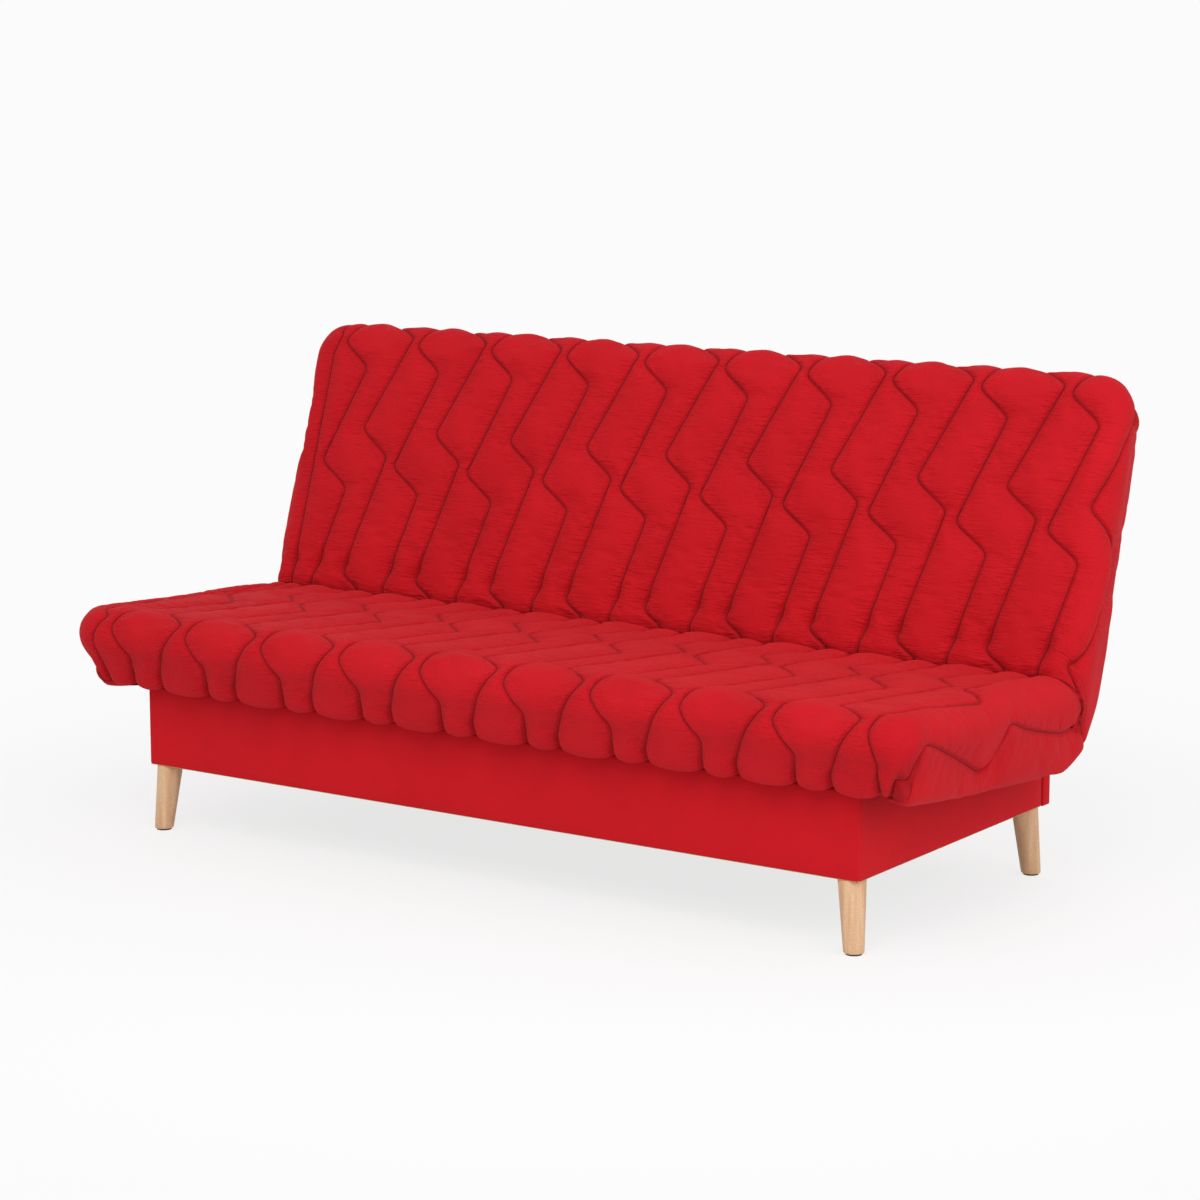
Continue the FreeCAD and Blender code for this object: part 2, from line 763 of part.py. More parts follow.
def slats(way, far, rail_x, plate_x):
    """Bent beech slats and the plastic channels on the rails that hold their ends."""
    first_gap = frame_near + tube
    last_gap = far - tube
    bay_start = plate_x + plate_thickness + plate_gap
    bay_end = half_frame - tube
    pitch = 2 * rail_x / middle_slat_count
    middles = [(i - (middle_slat_count - 1) / 2) * pitch for i in range(middle_slat_count)]
    middles += [-(bay_start + bay_end) / 2, (bay_start + bay_end) / 2]
    boards = [
        slat_band(middle - slat_width / 2, middle + slat_width / 2, way,
                  first_gap + holder_back, last_gap - holder_back)
        for middle in middles
    ]
    high = foam_bottom - slat_rest_gap
    slot_low = high - slat_crown - slat_thickness - slat_rest_gap
    slot_high = slot_low + holder_slot
    low = slot_low - holder_wall
    holders = []
    for rail, inward in ((first_gap, 1), (last_gap, -1)):
        back = rail + inward * (holder_back - slat_rest_gap)
        lip = rail + inward * holder_length
        corners = [
            (rail, low, 0), (lip, low, 0), (lip, slot_low, 0), (back, slot_low, 0),
            (back, slot_high, 0), (lip, slot_high, 0), (lip, high, 0), (rail, high, 0),
        ]
        holders.append(side_profile(corners, -rail_x, rail_x, way))
        outer = side_profile(corners, bay_start, bay_end, way)
        holders += [outer, mirrored(outer)]
    return boards, holders


def rails(way, far, rail_x, plate_x):
    """A half's frame: far rail, near rail in three lengths, two side rails, two inner rails."""
    z0, z1 = tube_base, tube_base + tube

    def along_x(x0, x1, near):
        ends = sorted((way * near, way * (near + tube)))
        return square_tube(x0, x1, ends[0], ends[1], z0, z1, "x")

    def along_y(x0, near, end):
        ends = sorted((way * near, way * end))
        return square_tube(x0, x0 + tube, ends[0], ends[1], z0, z1, "y")

    inner_end = half_frame - tube
    far_rail = along_x(-inner_end, inner_end, far - tube)
    short = along_x(plate_x + plate_thickness, inner_end, frame_near)
    near_rail = Part.makeCompound([along_x(-rail_x, rail_x, frame_near), short, mirrored(short)])
    side = along_y(inner_end, frame_near, far)
    inner = along_y(rail_x, rail_start, far - tube)
    return far_rail, near_rail, side, inner


def ratchet_sector():
    """Saw teeth about the fold pivot, on the side that the pawl sweeps."""
    step = (ratchet_to - ratchet_from) / tooth_count
    root = ratchet_radius - tooth_depth
    points = []
    for i in range(tooth_count):
        steep = math.radians(ratchet_from + i * step)
        points.append(Vec(seat_plate_x, -root * math.cos(steep), root * math.sin(steep)))
        points.append(
            Vec(seat_plate_x, -ratchet_radius * math.cos(steep), ratchet_radius * math.sin(steep))
        )
    last = math.radians(ratchet_to)
    points.append(Vec(seat_plate_x, -root * math.cos(last), root * math.sin(last)))
    points.append(Vec(seat_plate_x, 0, 0))
    wire = Part.makePolygon(points + [points[0]])
    return Part.Face(wire).extrude(Vec(plate_thickness, 0, 0))


def hinge_arm(way, x0, low):
    """The arm of a hinge plate, welded along its half's inner rail."""
    return side_profile(
        [(0, low, 0), (plate_arm - plate_arm_slant, low, 0), (plate_arm, tube_base, 0),
         (plate_arm, tube_base + tube, 0), (0, tube_base + tube - plate_arm_edge, 0)],
        x0, x0 + plate_thickness, way,
    )


def ratchet_plate():
    """The seat's hinge plate: bored for the fold pin and toothed round it."""
    shape = rod(plate_disc, seat_plate_x, seat_plate_x + plate_thickness, 0, 0)
    shape = shape.fuse(ratchet_sector())
    shape = shape.fuse(hinge_arm(-1, seat_plate_x, plate_arm_edge - plate_disc))
    bore = rod(pin_diameter / 2 + running_clearance, seat_plate_x - 1, link_x, 0, 0)
    return shape.cut(bore).removeSplitter()


def pawl_plate():
    """The back's hinge plate, with the stub that the pawl turns on."""
    shape = rod(plate_disc, back_plate_x, back_plate_x + plate_thickness, 0, 0)
    shape = shape.fuse(hinge_arm(1, back_plate_x, plate_arm_edge - plate_disc))
    stub = rod(pawl_pin_diameter / 2, back_plate_x + plate_thickness - 1,
               seat_plate_x + plate_thickness, pawl_reach, pawl_height)
    shape = shape.fuse(stub)
    bore = rod(pin_diameter / 2 + running_clearance, back_plate_x - 1, seat_plate_x, 0, 0)
    return shape.cut(bore).removeSplitter()


def pawl():
    """The pawl: bored for its stub, with a nose that rides the tooth crests and a bent tail."""
    x0 = seat_plate_x + (plate_thickness - pawl_thickness) / 2
    nose_height = pawl_height / 2
    nose = math.sqrt((ratchet_radius + pawl_clearance) ** 2 - nose_height ** 2)
    tail_end = pawl_reach + pawl_tail
    shape = side_profile(
        [(nose, nose_height, 0), (nose + pawl_nose_length, pawl_height + pawl_eye, 0),
         (pawl_reach + pawl_eye, pawl_height + pawl_eye, 0), (tail_end, pawl_height, 0),
         (tail_end, pawl_height - pawl_eye / 2, 0), (pawl_reach, pawl_height - pawl_eye, 0),
         (nose + pawl_nose_length, pawl_height - pawl_eye / 2, 0)],
        x0, x0 + pawl_thickness, 1,
    )
    bore = rod(pawl_pin_diameter / 2 + running_clearance, x0 - 1, x0 + pawl_thickness + 1,
               pawl_reach, pawl_height)
    return shape.cut(bore)


def front_link_pin():
    """A pin on the seat's inner rail, in the open eye of the front link."""
    end = link_x + link_thickness + bracket_gap / 2
    return rod(pin_diameter / 2, seat_rail_x + tube, end, -front_pin_reach, pin_height)


def half(way, name, place, sizes, far, lines, rail_x, plate_x):
    """Frame, slats, foam and cover of one half of the bed. sizes is (reach, pull, hem)."""
    pieces = {}
    far_rail, near_rail, side, inner = rails(way, far, rail_x, plate_x)
    pieces[name + "_outer_rail"] = place(far_rail)
    pieces[name + "_fold_rail"] = place(near_rail)
    pieces[name + "_side_rails"] = place(both(side))
    pieces[name + "_inner_rail_right"] = place(inner)
    pieces[name + "_inner_rail_left"] = place(mirrored(inner))
    boards, holders = slats(way, far, rail_x, plate_x)
    pieces[name + "_slats"] = place(Part.makeCompound(boards))
    pieces[name + "_slat_holders"] = place(Part.makeCompound(holders))
    foam, cover = soft_half(way, *sizes, lines)
    pieces[name + "_foam"] = place(foam)
    pieces[name + "_cover"] = place(cover)
    return pieces


def seat():
    """The seat half, its ratchet plates and its link pins."""
    pieces = half(
        -1, "seat", on_seat, (seat_reach, seat_pull, seat_hem),
        seat_reach - seat_frame_margin, seat_lines, seat_rail_x, seat_plate_x,
    )
    toothed = ratchet_plate()
    pieces["ratchet_plate_right"] = on_seat(toothed)
    pieces["ratchet_plate_left"] = on_seat(mirrored(toothed))
    pieces["front_link_pins"] = on_seat(both(front_link_pin()))
    return pieces


def back():
    """The back half, its hinge plates and the pawls on them."""
    pieces = half(
        1, "back", on_back, (back_reach, back_pull, back_hem),
        back_reach - back_frame_margin, back_lines, back_rail_x, back_plate_x,
    )
    carrier = pawl_plate()
    pieces["pawl_plate_right"] = on_back(carrier)
    pieces["pawl_plate_left"] = on_back(mirrored(carrier))
    pieces["pawls"] = on_back(both(pawl()))
    return pieces


def assembly():
    """Every piece of the sofa bed by name."""
    pieces = {}
    for group in (base_boards, base_inside, legs, lift_hinge, chassis, links, seat, back):
        pieces.update(group())
    return pieces


def write(pieces):
    """Centre the object over the origin and write one file per piece."""
    os.makedirs("parts", exist_ok=True)
    boxes = [shape.optimalBoundingBox(False, False) for shape in pieces.values()]
    lowest = min(box.YMin for box in boxes)
    highest = max(box.YMax for box in boxes)
    shift = -(lowest + highest) / 2
    for name, shape in pieces.items():
        moved = shape.copy()
        moved.translate(Vec(0, shift, 0))
        moved.exportStep(os.path.join("parts", name + ".step"))
    print("pieces", len(pieces), "shift along Y", round(shift, 4))
    print("lift hinge", round(hinge_y + shift, 4), round(hinge_z, 4))
    print("rear link pivot", round(lever_pivot[0] + shift, 4), round(lever_pivot[1], 4))
    print("front link pivot", round(front_pivot[0] + shift, 4), round(front_pivot[1], 4))
    print("fold pivot", round(pivot_y + shift, 4), round(pivot_z, 4))
    print("swing", round(swing_range, 4), "front", round(front_range, 4))
    print("fold", round(180 - fold_angle, 4), "slope", seat_slope)


write(assembly())
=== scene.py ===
# %% [markdown]
# # Click clack sofa bed
#
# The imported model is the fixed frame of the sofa: its box, steel, slats and legs are already in
# place. Blender adds the quilted cover, the mattress under it, every material, the light and the
# camera.

import json
import math

import bmesh
import bpy
import numpy as np
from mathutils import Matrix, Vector, noise
from mathutils.kdtree import KDTree


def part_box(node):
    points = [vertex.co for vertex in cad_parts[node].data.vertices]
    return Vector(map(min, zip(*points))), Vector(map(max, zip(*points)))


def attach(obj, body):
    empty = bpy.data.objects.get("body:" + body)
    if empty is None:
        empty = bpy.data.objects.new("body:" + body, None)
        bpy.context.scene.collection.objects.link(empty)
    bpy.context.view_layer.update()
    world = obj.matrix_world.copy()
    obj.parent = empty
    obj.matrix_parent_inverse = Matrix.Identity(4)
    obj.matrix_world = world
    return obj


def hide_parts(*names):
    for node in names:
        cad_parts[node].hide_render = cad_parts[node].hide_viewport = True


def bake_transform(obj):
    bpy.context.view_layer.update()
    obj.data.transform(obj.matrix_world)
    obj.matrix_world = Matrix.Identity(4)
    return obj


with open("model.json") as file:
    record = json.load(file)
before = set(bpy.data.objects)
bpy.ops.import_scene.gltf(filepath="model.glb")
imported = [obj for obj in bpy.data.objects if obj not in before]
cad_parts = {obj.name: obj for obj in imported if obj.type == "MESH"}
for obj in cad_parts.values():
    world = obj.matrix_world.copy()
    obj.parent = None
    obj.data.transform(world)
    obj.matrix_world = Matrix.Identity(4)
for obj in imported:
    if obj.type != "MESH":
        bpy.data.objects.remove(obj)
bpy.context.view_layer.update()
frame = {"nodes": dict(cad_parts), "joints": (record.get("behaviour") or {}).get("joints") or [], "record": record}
scene = bpy.context.scene

# %% [markdown]
# ## Camera, floor and light
#
# The camera stands to the right of the front, a little above the back's top, and far away, so
# that the sofa shows little perspective. A long lens of about 100 mm does that. The floor is
# pale, and two large soft lights and a bright surround leave almost no hard shadow.

# %% Camera
camera_data = bpy.data.cameras.new("camera")
camera_data.lens = 101.83
camera_data.sensor_width = 36
camera = bpy.data.objects.new("camera", camera_data)
scene.collection.objects.link(camera)
camera.location = (3.7192, -5.3887, 1.6664)
camera.rotation_euler = (math.radians(90 - 10.10), 0, math.radians(34.50))
scene.camera = camera
scene.view_settings.view_transform = "Standard"
print("camera", tuple(round(value, 3) for value in camera.location))


# %% [markdown]
# ## Two small helpers
#
# Every finish below starts with the same three steps, so a helper does them. The other helper
# takes a colour as a paint chart gives it, from 0 to 255, and turns it into the linear value that
# a shader works with. Without that step every colour would come out too pale.

# %% Helpers for materials
def new_material(name):
    """A material with empty nodes, its shader and its node tree."""
    material = bpy.data.materials.new(name)
    material.use_nodes = True
    nodes = material.node_tree.nodes
    # A material with its default nodes, their links and its shader.
    shader = nodes["Principled BSDF"]
    return material, nodes, material.node_tree.links, shader


def linear(red, green, blue):
    """A colour given in screen values from 0 to 255, as the shader wants it."""
    values = []
    for value in (red, green, blue):
        value = value / 255
        values.append(value / 12.92 if value <= 0.04045 else ((value + 0.055) / 1.055) ** 2.4)
    return (*values, 1.0)


print("white", linear(255, 255, 255))

# %% [markdown]
# The light is plain: a bright even surround, one large lamp from the front and one from the right.
# Large lamps give soft shadows, as the paper walls of a photographer's tent do. The backdrop that
# the camera sees is set apart from the surround that lights the sofa, so it can be almost white
# while the light stays at a plain level.

# %% Floor and light
world = bpy.data.worlds.new("surround")
world.use_nodes = True
scene.world = world
world_nodes = world.node_tree.nodes
world_links = world.node_tree.links
background = world_nodes["Background"]
background.inputs["Color"].default_value = (1.0, 1.0, 1.0, 1.0)
background.inputs["Strength"].default_value = 0.73
backdrop = world_nodes.new("ShaderNodeBackground")
backdrop.inputs["Color"].default_value = linear(251, 251, 251)
backdrop.inputs["Strength"].default_value = 1.0
ray = world_nodes.new("ShaderNodeLightPath")
chooser = world_nodes.new("ShaderNodeMixShader")
seen = world_nodes.new("ShaderNodeMath")
seen.operation = "MAXIMUM"
world_links.new(ray.outputs["Is Camera Ray"], seen.inputs[0])
world_links.new(ray.outputs["Is Glossy Ray"], seen.inputs[1])
world_links.new(seen.outputs["Value"], chooser.inputs["Fac"])
world_links.new(background.outputs["Background"], chooser.inputs[1])
world_links.new(backdrop.outputs["Background"], chooser.inputs[2])
world_links.new(chooser.outputs["Shader"], world_nodes["World Output"].inputs["Surface"])


def area_light(name, place, target, size, power):
    """A square soft light that shines from place to target."""
    data = bpy.data.lights.new(name, "AREA")
    data.size = size
    data.energy = power
    lamp = bpy.data.objects.new(name, data)
    lamp.location = place
    way = Vector(target) - Vector(place)
    lamp.rotation_euler = way.to_track_quat("-Z", "Y").to_euler()
    scene.collection.objects.link(lamp)
    return lamp


area_light("key_light", (1.5, -3.5, 4.0), (0, 0, 0.4), 3.0, 85)
area_light("fill_light", (4.5, -1.0, 2.5), (0, 0, 0.4), 3.0, 50)

floor_mesh = bpy.data.meshes.new("floor")
floor_mesh.from_pydata([(-9, -9, 0), (9, -9, 0), (9, 9, 0), (-9, 9, 0)], [], [(0, 1, 2, 3)])
floor = bpy.data.objects.new("floor", floor_mesh)
scene.collection.objects.link(floor)
print("lights 2, floor 18 m wide")

# %% [markdown]
# The photograph's floor and wall are one even white. The floor's paint therefore has two faces.
# For the light it is a plain pale grey. For the camera it is mostly the backdrop's white, with a
# share of the real shading left in near the sofa, so that the soft shadow stays.

# %% Floor paint
floor_paint, nodes, links, shader = new_material("floor_paint")
shader.inputs["Base Color"].default_value = (0.8, 0.8, 0.8, 1)
shader.inputs["Roughness"].default_value = 0.9
shaded = nodes.new("ShaderNodeBsdfDiffuse")
shaded.inputs["Color"].default_value = (0.20, 0.20, 0.20, 1)
even = nodes.new("ShaderNodeEmission")
even.inputs["Color"].default_value = (0.765, 0.765, 0.765, 1)
both_ways = nodes.new("ShaderNodeAddShader")
white = nodes.new("ShaderNodeEmission")
white.inputs["Color"].default_value = linear(251, 251, 251)
place = nodes.new("ShaderNodeNewGeometry")
length = nodes.new("ShaderNodeVectorMath")
length.operation = "LENGTH"
fade = nodes.new("ShaderNodeMapRange")
fade.interpolation_type = "SMOOTHSTEP"
fade.inputs["From Min"].default_value = 1.1
fade.inputs["From Max"].default_value = 2.3
near_or_far = nodes.new("ShaderNodeMixShader")
camera_or_light = nodes.new("ShaderNodeMixShader")
ray = nodes.new("ShaderNodeLightPath")
seen = nodes.new("ShaderNodeMath")
seen.operation = "MAXIMUM"
links.new(place.outputs["Position"], length.inputs[0])
links.new(length.outputs["Value"], fade.inputs["Value"])
links.new(fade.outputs["Result"], near_or_far.inputs["Fac"])
links.new(shaded.outputs["BSDF"], both_ways.inputs[0])
links.new(even.outputs["Emission"], both_ways.inputs[1])
links.new(both_ways.outputs["Shader"], near_or_far.inputs[1])
links.new(white.outputs["Emission"], near_or_far.inputs[2])
links.new(ray.outputs["Is Camera Ray"], seen.inputs[0])
links.new(ray.outputs["Is Glossy Ray"], seen.inputs[1])
links.new(seen.outputs["Value"], camera_or_light.inputs["Fac"])
links.new(shader.outputs["BSDF"], camera_or_light.inputs[1])
links.new(near_or_far.outputs["Shader"], camera_or_light.inputs[2])
links.new(camera_or_light.outputs["Shader"], nodes["Material Output"].inputs["Surface"])
floor.data.materials.append(floor_paint)
print("floor paint", len(nodes), "nodes")


# %% [markdown]
# ## The quilted cover
#
# One padded cloth covers both mattress halves. It is sewn in long zigzag lines that run from
# the back's rear hem, over its top, down into the fold, over the seat and down to the front hem.
# It can be made as one sheet of quads. Each column of the sheet follows a sewn line, so every
# seam is a clean edge of the mesh, and the cloth between two seams is free to puff up.
#
# A place on the sheet has two numbers. One is the reach, measured along the cloth from the fold.
# The other is the side step, measured along the cloth from the middle. Two functions bend the
# flat sheet round the edges, the corners and the fold.

# %% Sizes of the cover
fold_joint = next(joint for joint in frame["joints"] if joint["name"] == "back_fold")
fold_pivot = tuple(fold_joint["pos_m"][1:])
seat_slope = math.radians(3.0)
back_lean = math.radians(18.3)
top_height = 0.150
crease_reach = 0.1145
seat_reach = 0.745
back_reach = 0.696
half_length = 0.965
plan_radius = 0.078
edge_radius = 0.050
hem_radius = 0.012
hem_turn_in = 0.030
tuck_depth = 0.042
tuck_gap = 0.0025
shoulder_radius = 0.045
fold_hem = -0.031
corner_height = 0.0334
row_step = 0.0064

seat_out = np.array([-math.cos(seat_slope), math.sin(seat_slope)])
seat_up = np.array([math.sin(seat_slope), math.cos(seat_slope)])
back_out = np.array([math.sin(back_lean), math.cos(back_lean)])
back_up = np.array([-math.cos(back_lean), math.sin(back_lean)])
pivot = np.array(fold_pivot)
crease = pivot + crease_reach * seat_out + top_height * seat_up
down_fold = (pivot - crease) / np.linalg.norm(pivot - crease)
across_fold = np.array([-down_fold[1], down_fold[0]])
print("crease", crease.round(4), "across", across_fold.round(4))


# %% [markdown]
# Seen in section, the cloth lies flat, rounds the upper edge, runs down the side, leans in towards
# the hem and turns under it. The elastic in a real hem pulls it in like this. The section is
# made as a list of points with the distance along the cloth beside each, so that any place on the
# cloth can be looked up by its distance.

# %% How the cloth bends over an edge
def edge_profile(pull, hem):
    """Distance along the cloth, and the place outwards and up, for an edge whose hem is pulled in."""
    lean = math.atan2(pull, top_height - edge_radius - hem)
    points = [(0.0, top_height)]
    start = plan_radius - edge_radius
    for step in range(25):
        angle = (math.pi / 2 + lean) * step / 24
        out = start + edge_radius * math.sin(angle)
        points.append((out, top_height - edge_radius + edge_radius * math.cos(angle)))
    low = hem + hem_radius * (1 + math.sin(lean))
    run = (points[-1][1] - low) / math.cos(lean)
    last = (points[-1][0] - run * math.sin(lean), low)
    points.append(last)
    centre = (last[0] - hem_radius * math.cos(lean), last[1] - hem_radius * math.sin(lean))
    for step in range(1, 11):
        angle = -lean - (math.pi / 2 - lean) * step / 10
        wide = centre[0] + hem_radius * math.cos(angle)
        points.append((wide, centre[1] + 2 * hem_radius * math.sin(lean) + hem_radius * math.sin(angle)))
    points.append((points[-1][0] - hem_turn_in, points[-1][1]))
    points = np.array(points)
    along = np.concatenate([[0], np.cumsum(np.linalg.norm(np.diff(points, axis=0), axis=1))])
    return along, points[:, 0], points[:, 1]


front_edge = edge_profile(0.066, -0.011)
rear_edge = edge_profile(0.025, 0.008)
side_edge = edge_profile(0.043, -0.010)
side_run = side_edge[0][-1]
print("cloth over the edges", [round(float(edge[0][-1]), 3) for edge in (front_edge, rear_edge, side_edge)])


# %% [markdown]
# At the fold the cloth dives between the two mattress halves, in a narrow tuck, and comes up
# again. Each side of the tuck is a rounded shoulder and a short straight wall. The same helper
# makes both, because only the direction of the flat part differs.

# %% The cloth's path through the fold
def fold_side(out_way):
    """The cloth's line on one side of the fold, from its flat top down to the bottom of the tuck."""
    turn = math.acos(float(np.dot(-out_way, down_fold)))
    edge = crease + tuck_gap / math.sin(turn) * out_way
    tangent = shoulder_radius * math.tan(turn / 2)
    side = across_fold if np.dot(out_way, across_fold) > 0 else -across_fold
    centre = edge + tangent * down_fold + shoulder_radius * side
    path = [edge + (fold_flat - (fold_flat - tangent) * step / 4) * out_way for step in range(4)]
    for step in range(9):
        angle = turn * (1 - step / 8)
        ray = -side * math.cos(angle) - down_fold * math.sin(angle)
        path.append(centre + shoulder_radius * ray)
    path.append(path[-1] + down_fold * (tuck_depth - tangent))
    return np.array(path)


fold_flat = 0.050
seat_side = fold_side(seat_out)
back_side = fold_side(back_out)
floor_of_tuck = (seat_side[-1] + back_side[-1]) / 2 + down_fold * tuck_gap
fold_line = np.vstack([seat_side, floor_of_tuck, back_side[::-1]])
fold_steps = np.concatenate([[0], np.cumsum(np.linalg.norm(np.diff(fold_line, axis=0), axis=1))])
fold_half = fold_steps[-1] / 2
print("cloth in the fold", round(float(fold_steps[-1]), 3), "m")


# %% [markdown]
# The rows of the sheet run from the front hem, through the fold, to the back's rear hem. They lie
# about 6 mm apart, close enough for the puckers, and a little closer in the fold.

# %% The rows of the sheet
def spaced(start, stop, step):
    count = max(2, int(round(abs(stop - start) / step)) + 1)
    return np.linspace(start, stop, count)


seat_flat = seat_reach - plan_radius - crease_reach
back_flat = back_reach - plan_radius - crease_reach
seat_end = seat_flat + front_edge[0][-1]
back_end = back_flat + rear_edge[0][-1]
fold_shift = fold_half - fold_flat
rows_seat = spaced(-(seat_end + fold_shift), -fold_half, row_step)
rows_fold = spaced(-fold_half, fold_half, 0.0048)
rows_back = spaced(fold_half, back_end + fold_shift, row_step)
rows = np.concatenate([rows_seat, rows_fold[1:], rows_back[1:]])
print("rows", len(rows))

# %% [markdown]
# Two zigzag lines, A and B, repeat along the sofa. Each is written once, as pairs of reach and
# side step, and then copied every 193 mm. One more line runs round each end. A real quilting
# machine can't turn a sharp corner, so the corners are rounded by a smoothing curve.

# %% The sewn lines
pitch = 0.193
line_a_back = [
    (0.000, -0.150), (0.030, -0.196), (0.292, -0.132), (0.345, -0.210),
    (0.553, -0.119), (0.606, -0.197), (0.900, -0.105),
]
line_b_back = [
    (0.000, -0.081), (0.218, -0.032), (0.268, -0.111),
    (0.481, -0.035), (0.531, -0.107), (0.760, -0.030),
]
line_a_seat = [
    (0.000, -0.150), (0.146, -0.205), (0.216, -0.135), (0.552, -0.178),
    (0.609, -0.098), (0.745, -0.170), (0.850, -0.176),
]
line_b_seat = [
    (0.000, -0.081), (0.236, -0.105), (0.316, -0.022), (0.640, -0.078),
    (0.700, -0.034), (0.760, -0.052), (0.850, -0.056),
]
side_seat = [
    (0.000, 0.075), (0.023, 0.040), (0.241, 0.098), (0.281, 0.031),
    (0.310, 0.027), (0.550, 0.100), (0.617, 0.034), (0.850, 0.034),
]
side_back = [
    (0.000, 0.110), (0.024, 0.143), (0.202, 0.044), (0.257, 0.066),
    (0.319, 0.146), (0.463, 0.093), (0.520, 0.040), (0.800, 0.040),
]

print("corners of line A", len(line_a_seat) + len(line_a_back))

# %% [markdown]
# The tables hold corners only. These helpers turn them into one smooth line with a side step for
# every row. On the ends of the sofa the tables give heights, because that is what a photograph
# shows, so they are first turned into distances along the cloth.


# %% Smooth lines from the tables
def drop_to_cloth(points):
    """Turns heights on the side face into distances along the cloth from the flat top."""
    along, _, height = side_edge
    fall = 30
    order = np.argsort(height[:fall])
    heights, lengths = height[:fall][order], along[:fall][order]
    return [(reach, float(np.interp(value, heights, lengths))) for reach, value in points]


def along_rows(seat_points, back_points):
    """A sewn line's side step at each row, with the line's corners rounded."""
    reach = [-(value + fold_shift) for value, _ in reversed(seat_points)]
    reach += [value + fold_shift for value, _ in back_points]
    step = [value for _, value in reversed(seat_points)] + [value for _, value in back_points]
    fine = np.arange(rows[0] - 0.05, rows[-1] + 0.05, 0.001)
    line = np.interp(fine, reach, step)
    span, softness = 24, 6.5
    kernel = np.exp(-0.5 * (np.arange(-span, span + 1) / softness) ** 2)
    line = np.convolve(np.pad(line, span, mode="edge"), kernel / kernel.sum(), mode="valid")
    return np.interp(rows, fine, line)


flat_half = half_length - plan_radius
print("flat part", round(2 * flat_half, 3), "m long")

# %% [markdown]
# Now the lines are copied along the sofa, ten times each. At the left end line A would run off
# the flat part, so it is held back at a limit.

# %% Copy the lines along the sofa
line_a = along_rows(line_a_seat, line_a_back)
line_b = along_rows(line_b_seat, line_b_back)
side_line = flat_half + along_rows(drop_to_cloth(side_seat), drop_to_cloth(side_back))
repeats = 10
first_repeat = -4
left_limit = -0.905
left_side_drop = 0.080
keys = [np.full(len(rows), -(flat_half + side_run))]
keys.append(-np.maximum(side_line, flat_half + left_side_drop))
for number in range(first_repeat, first_repeat + repeats):
    keys.append(np.maximum(line_a + number * pitch, left_limit))
    keys.append(line_b + number * pitch)
keys += [side_line, np.full(len(rows), flat_half + side_run)]
keys = np.array(keys)
print("sewn lines", len(keys) - 2, "narrowest gap", round(float(np.diff(keys, axis=0).min()), 4))

# %% [markdown]
# Between two seams there are 14 columns. They crowd towards the seams, where the cloth curves
# most, and spread out over the flat tops, where nothing happens.

# %% The columns between the sewn lines
gap_shares = (0.035, 0.08, 0.14, 0.22, 0.31, 0.405, 0.5, 0.595, 0.69, 0.78, 0.86, 0.92, 0.965, 1.0)
columns = [keys[0]]
seam_columns = []
for left, right in zip(keys[:-1], keys[1:]):
    shares = gap_shares
    if left is keys[0] or right is keys[-1]:
        shares = np.linspace(0, 1, 21)[1:]
    for share in shares:
        columns.append(left + (right - left) * share)
    seam_columns.append(len(columns) - 1)
seam_columns = seam_columns[:-1]
steps = np.array(columns).T
print("columns", steps.shape[1], "seams at", len(seam_columns))


# %% [markdown]
# Now each point of the flat sheet finds its place in space. Along the reach it follows the seat,
# the fold or the back. Across it, it follows the section of the end. At a corner the two sections
# are mixed by angle, which gives a rounded corner like that of a tight bed sheet. Near the fold
# the end fans round the hinge line, so that seat and back share one line there.

# %% Bend the flat sheet round the mattress
def profile_at(edge, share):
    """Place outwards and up on an edge, at a share of its cloth from 0 to 1."""
    along, out, height = edge
    where = share * along[-1]
    return np.interp(where, along, out), np.interp(where, along, height)


def hem_drop(height, hem, usual):
    """Lengthens or shortens the lower part of the side so that it ends at hem."""
    turn = 0.090
    lower = np.minimum(height - turn, 0)
    return np.maximum(height, turn) - (-lower) * (turn - hem) / (turn - usual)


fan_reach = 0.150
print("fan", fan_reach, "m to each side of the fold")

# %% [markdown]
# This is the function that does the bending, one row at a time. Numpy works on all the columns
# of a row at once, so a hundred thousand points take less than a second.


